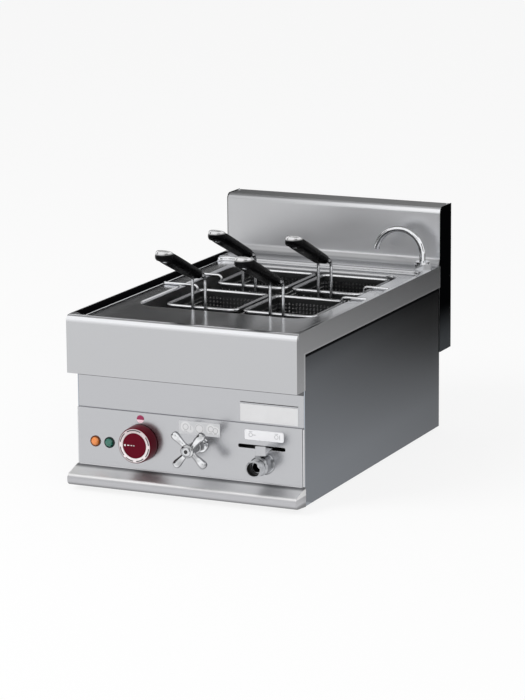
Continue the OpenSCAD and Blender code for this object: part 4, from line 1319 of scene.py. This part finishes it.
@dataclass(frozen=True)
class Casing:
    """Sheet-metal casing with softened edges, folds and a hem."""

    edge: float = 0.5
    foot_edge: float = 0.8
    # Sizes of a side panel's fold and of the control panel's hem, and where their middles lie
    fold: Size = (2.1, 3.2, 93.0)
    fold_at: Place = (197.4, 30.3, 78.0)
    hem: Size = (390.0, 1.6, 1.6)
    hem_at: Place = (0.0, 27.8, 31.6)
    trim_edge: float = 0.6

    def build(self) -> None:
        """Build the casing's pieces."""
        for node in ("control_panel", "front_strip", "base_ledge", "splashback", "worktop"):
            self.sheet(node, node + "_sheet", "steel")
        for node in ("left_side_panel", "right_side_panel"):
            self.sheet(node, node + "_sheet", "side_steel")
        self.sheet("splashback_ends", "splashback_end_sheets", "dark_steel")
        put(Bench.softened("feet", self.foot_edge), "foot_pads", RUBBER, nodes=["feet"])
        self.folds()

    def sheet(self, node: str, name: str, slot: str) -> None:
        """Copy a sheet of the casing with softened edges, in its node's finish."""
        put(Bench.softened(node, self.edge), name, NODE_FINISHES[node], nodes=[node])

    def folds(self) -> None:
        """Folded front edges of the side panels, and the hem along the control panel's foot, in a lighter
        steel that paints a highlight on them.
        """
        across, back, up = self.fold_at
        for side, x in (("left", -across), ("right", across)):
            fold = Bench.block(self.fold, edge=self.trim_edge)
            Bench.cut(fold, lambda _, normal: normal.y > PARALLEL)
            put(Bench.move(fold, at(x, back, up)), side + "_panel_fold", EDGE_HIGHLIGHT_STEEL)
        hem = Bench.block(self.hem, edge=self.trim_edge)
        put(Bench.move(hem, at(*self.hem_at)), "panel_hem", EDGE_HIGHLIGHT_STEEL)


@dataclass(frozen=True)
class Labels:
    """Bare plate on the strip and the two labels with signs on the panel."""

    edge: float = 0.2
    # Dark line above the plate: its size, the radius of its edges and its height above the plate
    line: Size = (99.0, 0.9, 1.1)
    line_edge: float = 0.3
    line_gap: float = 2.6

    def build(self) -> None:
        """Build the plate, the line above it and the labels."""
        plate = Bench.softened("name_plate", self.edge)
        put(plate, "bare_plate", PLATE, nodes=["name_plate"])
        place = middle_of("name_plate")
        place.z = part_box("name_plate")[1].z + self.line_gap * MM
        line = Bench.block(self.line, edge=self.line_edge)
        put(Bench.move(line, place), "plate_line", BLACK)
        self.label(
            "tap_label", (0.58, 0.585, 0.6),
            discs=((-24, 1, 8.5), (-16, -2, 6), (0, 0, 8), (20, 1, 8), (28, -1, 7)),
            rings=((-24, 1, 4.6), (0, 0, 6.4), (20, 1, 4.4), (28, -1, 4)),
            bars=((-24, -6, 6, 1), (-15, 0, 1, 7), (20, -6, 6, 1), (28, -6.5, 5, 1)),
        )
        self.label(
            "drain_label", (0.82, 0.82, 0.84),
            rings=((-23, 0, 3), (21, 0, 3)),
            bars=((-17, 0, 5, 1.2), (-23, 5, 6, 1), (26.5, 0, 1.2, 7), (21, 5, 6, 1)),
        )

    def label(self, node: str, paper: Colour, **signs: tuple[tuple[float, ...], ...]) -> None:
        """Copy a label with its signs in place.

        Args:
            node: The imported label.
            paper: Colour of its paper.
            signs: Its discs, rings and bars.
        """
        x, _, z = middle_of(node)
        finish = Signs(node + "_print", middle=(x, z), paper=paper, **signs)
        put(Bench.softened(node, self.edge), node + "_plate", finish, nodes=[node])


@dataclass(frozen=True)
class Fittings:
    """Screws, the nut under the spout, and the fittings on the rear: water inlet and cable gland."""

    rear: float = 600.0
    column_rear: float = 650.0
    # Screws in the rear panel and in the splashback's rear: their places across and their heights
    rear_across: tuple[float, ...] = (-184, 184)
    rear_up: tuple[float, ...] = (20, 70, 118)
    column_across: tuple[float, ...] = (-186, 0, 186)
    column_up: tuple[float, ...] = (146, 364)
    # Screws on the splashback's top: the place of the right one, and their share of the others' size
    splash_top: Place = (195.5, 641.0, 380.0)
    small_screw: float = 0.6
    # Slot in a screw's head, and how much further each screw is turned than the one before it
    slot: Size = (9.0, 0.9, 2.0)
    slot_at: Place = (0.0, 0.0, 2.4)
    screw_turn: float = 25.0
    nut_edge: float = 0.7
    inlet_thread: Thread = Thread(root=9.4, crest=10.3, start=9.6, pitch=2.2, turns=6, rise=(0.7, 1.3, 2.0))

    def build(self) -> None:
        """Build the screws, the rear fittings and the nut."""
        self.screws()
        rings = self.inlet_thread.rings()
        inlet = [
            Bench.turned(((14.8, 0.0), (15.5, 0.7), (15.5, 7.3), (14.6, 8.0), (10.0, 8.2)), sides=6),
            Bench.turned((
                (9.4, 6.0), *rings, (9.2, 23.4), (8.8, 23.9), (5.2, 23.9), (5.1, 23.0), (5.1, 4.0),
            ), sides=40),
        ]
        put(self.fit(inlet, "inlet_fitting"), "inlet_thread", BRASS,
            nodes=["inlet_fitting"], smooth=25.0)
        gland = [
            Bench.turned(((11.4, 0.0), (12.0, 0.6), (12.0, 5.4), (11.2, 6.0), (9.0, 6.1)), sides=6),
            Bench.turned((
                (9.6, 5.0), (10.2, 6.2), (10.2, 14.0), (9.6, 16.5), (8.6, 17.8), (6.6, 18.0), (6.2, 17.4),
                (6.0, 12.0),
            ), sides=14),
        ]
        put(self.fit(gland, "cable_gland"), "gland_nut", BLACK,
            nodes=["cable_gland"], smooth=20.0)
        nut = Bench.softened("spout_nut", self.nut_edge)
        put(nut, "spout_base_nut", CHROME, nodes=["spout_nut"])

    def fit(self, parts: Sequence[bpy.types.Object], node: str) -> bpy.types.Object:
        """Join a fitting's parts and set them on the rear panel.

        Args:
            parts: The parts, turned about z from the panel's face outwards.
            node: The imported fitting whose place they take.

        Returns:
            The fitting.
        """
        fitting = Bench.move(Bench.join(parts), (0, 0, 0), REAR)
        place = middle_of(node)
        place.y = at(0, self.rear, 0).y
        return Bench.move(fitting, place)

    def screws(self) -> None:
        """Model one slotted screw head and copy it to the rear and to the splashback's top."""
        head = Bench.turned(((4.0, -0.3), (4.0, 0.9), (3.6, 1.6), (2.6, 2.1), (1.2, 2.3)), sides=28)
        slot = Bench.block(self.slot, self.slot_at)
        Bench.modify(head, "BOOLEAN", object=slot, operation="DIFFERENCE", solver="EXACT")
        spots = [(x, self.rear, z) for x in self.rear_across for z in self.rear_up]
        spots += [(x, self.column_rear, z) for x in self.column_across for z in self.column_up]
        turns = [(REAR[0], self.screw_turn * k, 0) for k in range(len(spots))]
        rear = [Bench.copy(head, at(*spot), turn) for spot, turn in zip(spots, turns)]
        put(Bench.join(rear), "rear_screws", ZINC)
        small = Bench.copy(head)
        Bench.edit(small)
        bpy.ops.transform.resize(value=[self.small_screw] * 3, center_override=(0, 0, 0))
        across, back, up = self.splash_top
        tops = [Bench.copy(small, at(x, back, up)) for x in (-across, across)]
        put(Bench.join(tops), "splashback_screws", CHROME)
        Bench.discard(head, slot, small)


@dataclass(frozen=True)
class Knob:
    """Dark red thermostat knob with a white dial ring, and the index spot above it."""

    x: float = -85.0
    z: float = 76.0
    # Gap between the control panel and the knob's rear
    gap: float = 0.8
    spot_z: float = 114.5
    face: float = 22.15
    pointer: float = 2.4
    pointer_corner: float = 0.4
    pointer_height: float = 0.5
    pointer_x: float = -16.5
    # Place across and length of each dash, then the width and the height off the face that all share
    dashes: tuple[tuple[float, float], ...] = ((-10.4, 3.6), (-4.8, 3.0), (-0.6, 2.2))
    dash: tuple[float, float] = (1.5, 0.6)
    dash_up: float = 0.3
    dash_edge: float = 0.25

    def build(self) -> None:
        """Build the knob, its ring, its marks and the spot."""
        axis = at(self.x, PANEL - self.gap, self.z)
        body = Bench.turned((
            (28.4, 0.0), (29.6, 0.6), (30.0, 1.6), (29.9, 5.0), (28.9, 19.6), (28.4, 21.2), (27.7, 21.9),
            (27.5, 21.6), (27.4, 20.5), (20.6, 20.5), (20.4, 21.9), (19.8, 22.2), (12.0, 22.6), (2.0, 22.7),
        ), sides=72)
        put(Bench.move(body, axis, FRONT), "knob_body", RED, "knob", ["knob"])
        ring = Bench.turned((
            (27.3, 20.4), (27.3, 21.6), (26.9, 22.0), (20.9, 22.0), (20.7, 21.7), (20.7, 20.6),
        ), sides=72)
        dial = DialPrint("dial_print", axis=tuple(axis))
        put(Bench.move(ring, axis, FRONT), "knob_ring", dial, "knob", ["knob_dial"])
        put(Bench.move(self.marks(), axis, FRONT), "knob_marks", WHITE, "knob")
        spot = Bench.turned(((6.4, 0.0), (6.4, 0.5), (6.1, 0.8), (3.0, 0.95), (0.5, 1.0)), sides=40)
        Bench.move(spot, at(self.x, PANEL, self.spot_z), FRONT)
        put(spot, "index_disc", SPOT, nodes=["index_spot"])

    def marks(self) -> bpy.types.Object:
        """Raised pointer and dashes on the knob's face.

        Returns:
            The marks, with the knob's axis along z.
        """
        Bench.clear()
        bpy.ops.mesh.primitive_circle_add(vertices=3, radius=self.pointer * MM, fill_type="NGON")
        pointer = bpy.context.object
        Bench.edit(pointer)
        bpy.ops.transform.rotate(value=math.radians(-90), orient_axis="Z", center_override=(0, 0, 0))
        bpy.ops.mesh.bevel(offset=self.pointer_corner * MM, segments=2, affect="VERTICES")
        step = {"value": (0, 0, self.pointer_height * MM)}
        bpy.ops.mesh.extrude_region_move(TRANSFORM_OT_translate=step)
        Bench.tidy(pointer)
        Bench.move(pointer, (self.pointer_x * MM, 0, self.face * MM))
        height = self.face + self.dash[1] / 2
        dashes = [
            Bench.block((length, *self.dash), (x, self.dash_up, height), self.dash_edge)
            for x, length in self.dashes
        ]
        return Bench.join([pointer, *dashes])


@dataclass(frozen=True)
class Lamps:
    """Two signal lamps with faceted lenses."""

    # Name, place across, and finishes of the bezel and the lens
    lamps: tuple[tuple[str, float, Finish, Finish], ...] = (
        ("orange", -166.0, AMBER_RIM, ORANGE), ("green", -141.0, GREEN_RIM, GREEN),
    )
    z: float = 71.0

    def build(self) -> None:
        """Build one bezel and one lens, and place a copy of each for both lamps."""
        bezel = Bench.turned((
            (8.7, 0.0), (9.0, 0.3), (9.0, 1.3), (8.5, 2.0), (7.6, 2.1), (7.1, 1.8), (6.9, 1.0),
        ))
        lens = Bench.turned(((6.9, 0.8), (6.9, 2.4), (5.6, 4.0), (3.0, 4.9), (2.2, 4.5)), sides=10)
        for name, x, rim, glass in self.lamps:
            place = at(x, PANEL, self.z)
            put(Bench.copy(bezel, place, FRONT), name + "_bezel", rim,
                nodes=[name + "_lamp"])
            put(Bench.copy(lens, place, FRONT), name + "_lens", glass, smooth=5.0)
        Bench.discard(bezel, lens)


@dataclass(frozen=True)
class Tap:
    """Cross-handle water tap."""

    x: float = 21.0
    z: float = 84.0
    # Distance of the arms from the panel, and the angle of the first arm
    arms: float = 42.0
    turn: float = 42.0

    def build(self) -> None:
        """Build the bonnet, the cross handle and its cap."""
        axis = at(self.x, PANEL, self.z)
        bonnet = Bench.turned((
            (13.5, 0.0), (13.5, 1.4), (12.4, 2.8), (9.6, 3.4), (8.6, 4.6), (8.4, 14.0), (9.3, 14.6),
            (9.3, 20.0), (8.6, 20.6), (8.4, 29.5), (7.4, 30.0),
        ))
        put(Bench.move(bonnet, axis, FRONT), "tap_neck", TAP_CHROME, nodes=["tap_bonnet"])
        put(self.cross(axis), "tap_cross", TAP_CHROME, "tap", ["tap_handle"])
        cap = Bench.turned(((6.4, 52.0), (6.4, 53.6), (5.8, 54.4), (4.2, 54.8), (3.3, 54.6), (3.1, 54.0)))
        put(Bench.move(cap, axis, FRONT), "tap_button", CHROME, "tap", ["tap_cap"])
        dot = Bench.turned(((3.0, 53.6), (3.0, 54.3), (2.6, 54.6), (0.8, 54.7)), sides=32)
        put(Bench.move(dot, axis, FRONT), "tap_button_dot", BLACK, "tap")

    def cross(self, axis: Vector) -> bpy.types.Object:
        """Hub with four waisted arms.

        Args:
            axis: Where the tap's axis meets the panel.

        Returns:
            The cross handle.
        """
        hub = Bench.turned((
            (8.0, 32.0), (9.3, 32.8), (9.5, 34.0), (9.5, 46.6), (10.6, 47.8), (11.0, 49.4), (10.5, 51.2),
            (9.0, 52.6), (7.9, 53.0), (7.5, 52.6), (7.2, 52.0), (6.2, 52.0),
        ))
        Bench.move(hub, axis, FRONT)
        arm = Bench.turned((
            (5.4, 6.0), (4.7, 10.5), (4.5, 13.5), (4.9, 18.0), (5.7, 23.0), (6.5, 28.0), (6.8, 31.5),
            (6.6, 34.0), (5.7, 36.0), (4.2, 37.2), (2.4, 37.8), (0.8, 38.0),
        ), sides=24)
        middle = axis + Vector((0, -self.arms * MM, 0))
        arms = [Bench.copy(arm, middle, (0, self.turn + 90 * k, 0)) for k in range(4)]
        Bench.discard(arm)
        return Bench.join([*arms, hub])


@dataclass(frozen=True)
class Drain:
    """Drain outlet with its thread and stepped bore, and the lever in the slot."""

    x: float = 131.0
    z: float = 64.0
    thread: Thread = Thread(root=12.4, crest=13.2, start=26.4, pitch=1.9, turns=8, rise=(0.6, 1.1, 1.7))
    # Corners of each ring, and the height above which the end of the bore is cut open
    sides: int = 56
    mouth: float = 41.5
    # Cosine, and place along y in metres, from which a ring of the bore takes the plated finish; the rest of
    # the bore is near black, painted shade
    ring_slope: float = 0.8
    ring_depth: float = -0.315
    lever_edge: float = 0.8

    def build(self) -> None:
        """Build the outlet, its bore and the lever."""
        place = at(self.x, PANEL, self.z)
        outlet = Bench.turned((
            (17.6, 0.0), (18.0, 0.5), (18.0, 2.2), (17.2, 3.0), (15.6, 3.1), (15.2, 4.0), (15.5, 5.0),
            (15.5, 20.6), (14.8, 21.6), (13.4, 22.4), (12.2, 22.8), (12.2, 26.2), *self.thread.rings(),
            (12.2, 41.8), (11.6, 42.0), (11.1, 41.8), (11.0, 41.0), (11.0, 6.0),
        ), self.sides)
        put(Bench.move(outlet, place, FRONT), "outlet_thread", OUTLET_CHROME,
            nodes=["drain_outlet"])
        bore = Bench.turned((
            (11.3, 41.6), (10.7, 40.8), (10.7, 37.4), (9.5, 37.0), (9.5, 34.0), (10.5, 33.6), (10.5, 27.4),
            (8.0, 27.0), (8.0, 22.0), (7.4, 18.0), (5.6, 15.0), (2.0, 13.5),
        ), self.sides)
        Bench.cut(bore, lambda centre, _: centre.z > self.mouth * MM)

        def deep_ring(centre: Vector, normal: Vector) -> bool:
            """Whether a face belongs to a ring deep in the bore."""
            return abs(normal.y) > self.ring_slope and centre.y > self.ring_depth

        put(Bench.move(bore, place, FRONT), "outlet_bore", SHADE_BORE,
            accent=(OUTLET_CHROME, deep_ring))
        lever = Bench.softened("drain_lever", self.lever_edge)
        put(lever, "lever_strip", STEEL, "drain_lever", ["drain_lever"])


@dataclass(frozen=True)
class Basket:
    """One lift-out basket: perforated shell, grip, grip end and rivet; copied for all four."""

    width: float = 117.9
    length: float = 127.9
    corner: float = 8.95
    bottom: float = 136.3
    top: float = 264.0
    sheet: float = 0.9
    margin: float = 7.0
    hole: float = 3.5
    hole_corner: float = 0.29
    # Holes round the wall and up it, holes across the floor and along it, and steps of their corners
    wall_cells: tuple[int, int] = (75, 18)
    wall_steps: int = 8
    floor_cells: tuple[int, int] = (17, 16)
    floor_steps: int = 6
    floor_inset: float = 1.0
    # Height above the floor, and cosine, from which a hole's face counts as a cut edge and takes painted
    # glints
    edge_above: float = 3.0
    edge_slope: float = 0.5
    grip_length: float = 140.0
    grip_width: float = 31.0
    grip_thick: float = 17.0
    grip_angle: float = 24.0
    # Where the grip's root lies before the shell and above it, and the share of its length that is kept
    grip_before: float = 18.32
    grip_above: float = 57.59
    grip_cut: float = 0.945
    grip_smooth: float = 60.0
    # Share of the length, of the width and of the thickness at stations along the grip
    stations: tuple[tuple[float, float, float], ...] = (
        (0.0, 0.86, 0.74), (0.04, 0.96, 0.9), (0.2, 0.95, 0.92), (0.45, 0.98, 0.97), (0.7, 1.02, 1.02),
        (0.86, 0.95, 0.98), (0.93, 0.77, 0.83), (0.975, 0.52, 0.6), (1.0, 0.3, 0.36),
    )
    cap_wide: float = 1.05
    cap_thick: float = 1.12
    cap_length: float = 20.0
    # Reach past the grip's end, share to which the long corners are pulled in, and the power by which
    # the cap's height narrows less than its width
    cap_proud: float = 0.2
    cap_corner: float = 0.87
    cap_flatness: float = 0.8
    # Reach back from the cap's front, and the share to which all before it narrows
    cap_slices: tuple[tuple[float, float], ...] = (
        (20.5, 0.97), (15.5, 0.93), (10.5, 0.89), (5.5, 0.78), (0.0, 0.48),
    )
    rivet_share: float = 0.83

    def outline(self) -> bpy.types.Object:
        """Curve round the basket's wall, at the middle of its sheet.

        Returns:
            The curve.
        """
        plate = Bench.plate(((self.width - self.sheet) * MM, (self.length - self.sheet) * MM))
        corner = (self.corner - self.sheet / 2) * MM
        bpy.ops.mesh.bevel(offset=corner, affect="VERTICES", segments=self.wall_steps)
        bpy.ops.mesh.delete(type="ONLY_FACE")
        Bench.take(plate)
        bpy.ops.object.convert(target="CURVE")
        outline = bpy.context.object
        outline.data.dimensions = "3D"
        outline.data.twist_mode = "Z_UP"
        return outline

    def perforated(self, cells: tuple[int, int], size: Sequence[float]) -> bpy.types.Object:
        """Flat perforated sheet in x and y, with its corner at the origin.

        Args:
            cells: Holes along x and along y.
            size: Its sides in metres.

        Returns:
            The sheet.
        """
        pitch = [side / count for side, count in zip(size, cells)]
        middle = Vector((pitch[0] / 2, pitch[1] / 2, 0))
        sheet = Bench.plate(pitch)
        bpy.ops.transform.translate(value=middle)
        bpy.ops.mesh.inset(thickness=(min(pitch) - self.hole * MM) / 2)
        bpy.ops.mesh.bevel(offset=self.hole_corner * self.hole * MM, affect="VERTICES", segments=1)
        Bench.cut(sheet, lambda centre, _: (centre - middle).length < NEAR)
        for count, offset in zip(cells, ((1, 0, 0), (0, 1, 0))):
            Bench.modify(
                sheet, "ARRAY", count=count, relative_offset_displace=offset,
                use_merge_vertices=True, merge_threshold=NEAR,
            )
        return sheet

    def wall(self) -> bpy.types.Object:
        """Perforated wall bent round the outline, with plain margins.

        Returns:
            The wall.
        """
        outline = self.outline()
        around = outline.data.splines[0].calc_length()
        height = (self.top - self.bottom - 2 * self.margin) * MM
        wall = self.perforated(self.wall_cells, (around, height))
        for edge, step in ((0.0, -self.margin), (height, self.margin)):
            Bench.pick(wall, Pick.EDGES, lambda centre, _: abs(centre.y - edge) < NEAR)
            bpy.ops.mesh.extrude_region_move(TRANSFORM_OT_translate={"value": (0, step * MM, 0)})
        Bench.move(wall, (0, 0, (self.bottom + self.margin) * MM), FRONT)
        Bench.modify(wall, "CURVE", object=outline, deform_axis="POS_X")
        Bench.discard(outline)
        Bench.tidy(wall)
        return wall

    def floor(self) -> bpy.types.Object:
        """Perforated floor with a plain rim.

        Returns:
            The floor.
        """
        sides = [side - self.floor_inset for side in (self.width, self.length)]
        rim = Bench.plate([side * MM for side in sides])
        corner = (self.corner - self.floor_inset / 2) * MM
        bpy.ops.mesh.bevel(offset=corner, affect="VERTICES", segments=self.floor_steps)
        bpy.ops.mesh.inset(thickness=self.margin * MM)
        Bench.cut(rim, lambda centre, _: centre.length < NEAR)
        wide, long = ((side - 2 * self.margin) * MM for side in sides)
        holes = self.perforated(self.floor_cells, (wide, long))
        Bench.move(holes, (-wide / 2, -long / 2, 0))
        floor = Bench.join([rim, holes])
        return Bench.move(floor, (0, 0, (self.bottom + self.floor_inset / 2) * MM))

    def shell(self) -> bpy.types.Object:
        """Wall and floor joined and given the sheet's thickness.

        Returns:
            The shell.
        """
        shell = Bench.join([self.floor(), self.wall()])
        Bench.modify(shell, "SOLIDIFY", thickness=self.sheet * MM, offset=0.0)
        return shell

    def grip(self) -> bpy.types.Object:
        """Grip along -y from the origin: a block drawn out at stations, smoothed and cut off under its cap.

        Returns:
            The grip.
        """
        wide, thick, long = self.grip_width, self.grip_thick, self.grip_length
        last = len(self.stations) - 1
        grip = Bench.block((wide, long, thick), (0, -long / 2, 0))
        Bench.pick(grip, Pick.EDGES, lambda _, way: abs(way.y) > PARALLEL)
        bpy.ops.mesh.subdivide(number_cuts=last - 1)
        Bench.pick(grip, Pick.EDGES, lambda _, way: abs(way.x) > PARALLEL)
        bpy.ops.mesh.subdivide(number_cuts=2)
        # Shaped rings wait one metre higher, so that none is picked again once others have moved
        aside = 1.0
        for k, (_, width, depth) in enumerate(self.stations):
            old = -long * k / last * MM
            Bench.pick(grip, Pick.CORNERS, lambda place, _: abs(place.y - old) < NEAR)
            bpy.ops.transform.resize(value=(width, 1, depth), center_override=(0, old, 0))
            bpy.ops.transform.translate(value=(0, 0, aside))
        for k, (share, _, _) in enumerate(self.stations):
            old = -long * k / last * MM
            Bench.pick(
                grip, Pick.CORNERS, lambda place, _: abs(place.y - old) < NEAR and place.z > aside / 2,
            )
            bpy.ops.transform.translate(value=(0, -share * long * MM - old, -aside))
        Bench.modify(grip, "SUBSURF", levels=2)
        Bench.cut(grip, lambda centre, _: centre.y < -self.grip_cut * long * MM)
        return grip

    def cap(self) -> bpy.types.Object:
        """Domed cap over the grip's tip: a block with a narrowed front, smoothed.

        Returns:
            The cap.
        """
        wide, thick = self.grip_width * self.cap_wide, self.grip_thick * self.cap_thick
        middle = -self.grip_length - self.cap_proud + self.cap_length / 2
        front = (-self.grip_length - self.cap_proud / 2) * MM
        cap = Bench.block((wide, self.cap_length, thick), (0, middle, 0))
        Bench.edit(cap)
        bpy.ops.mesh.subdivide(number_cuts=3)
        # Just inside the block's sides, so that only its long corner edges are picked
        inside = 0.49
        side, above = (size * inside * MM for size in (wide, thick))
        Bench.pick(cap, Pick.CORNERS, lambda place, _: abs(place.x) > side and abs(place.z) > above)
        pulled_in = (self.cap_corner, 1.0, self.cap_corner)
        bpy.ops.transform.resize(value=pulled_in, center_override=(0, front, 0))
        for reach, share in self.cap_slices:
            Bench.pick(cap, Pick.CORNERS, lambda place, _: place.y < front + reach * MM)
            narrower = (share, 1.0, share ** self.cap_flatness)
            bpy.ops.transform.resize(value=narrower, center_override=(0, front, 0))
        Bench.modify(cap, "SUBSURF", levels=3)
        return cap

    def build(self) -> None:
        """Model each piece once and copy it to the four baskets."""
        shell, grip, end = self.shell(), self.grip(), self.cap()
        rivet = Bench.turned(((4.0, -8.6), (4.0, 8.7), (3.4, 9.4), (1.6, 9.7)), sides=20)
        Bench.move(rivet, (0, -self.rivet_share * self.grip_length * MM, 0), (180, 0, 0))
        turn = (-self.grip_angle, 0, 0)
        cut_level = (FEET + self.bottom + self.edge_above) * MM

        def cut_edge(centre: Vector, normal: Vector) -> bool:
            """Whether a face is a level cut edge in the wall."""
            return abs(normal.z) > self.edge_slope and centre.z > cut_level

        for name in CORNERS:
            body = name + "_basket"
            place = middle_of(name + "_shell")
            place.z = FEET * MM
            # The dark basket sheet is painted shade, and its holes' cut edges take painted glints
            put(Bench.copy(shell, place), name + "_mesh", SHADED_MESH_STEEL, body, [name + "_shell"],
                accent=(CUT_EDGE_HIGHLIGHT, cut_edge))
            start = place + Vector((0, -self.length / 2 - self.grip_before, self.top + self.grip_above)) * MM
            put(Bench.copy(grip, start, turn), name + "_handle", GRIP, body, [name + "_grip"],
                self.grip_smooth)
            put(Bench.copy(end, start, turn), name + "_handle_end", GRIP_END, body,
                smooth=self.grip_smooth)
            put(Bench.copy(rivet, start, turn), name + "_rivet", CHROME, body)
        Bench.discard(shell, grip, end, rivet)


def main() -> None:
    """Build the scene in order."""
    logging.basicConfig(level=logging.INFO, format="%(name)s: %(message)s")
    Studio().build()
    dress_nodes()
    for assembly in (Casing(), Labels(), Fittings(), Knob(), Lamps(), Tap(), Drain(), Basket()):
        assembly.build()


if __name__ == "__main__":
    main()
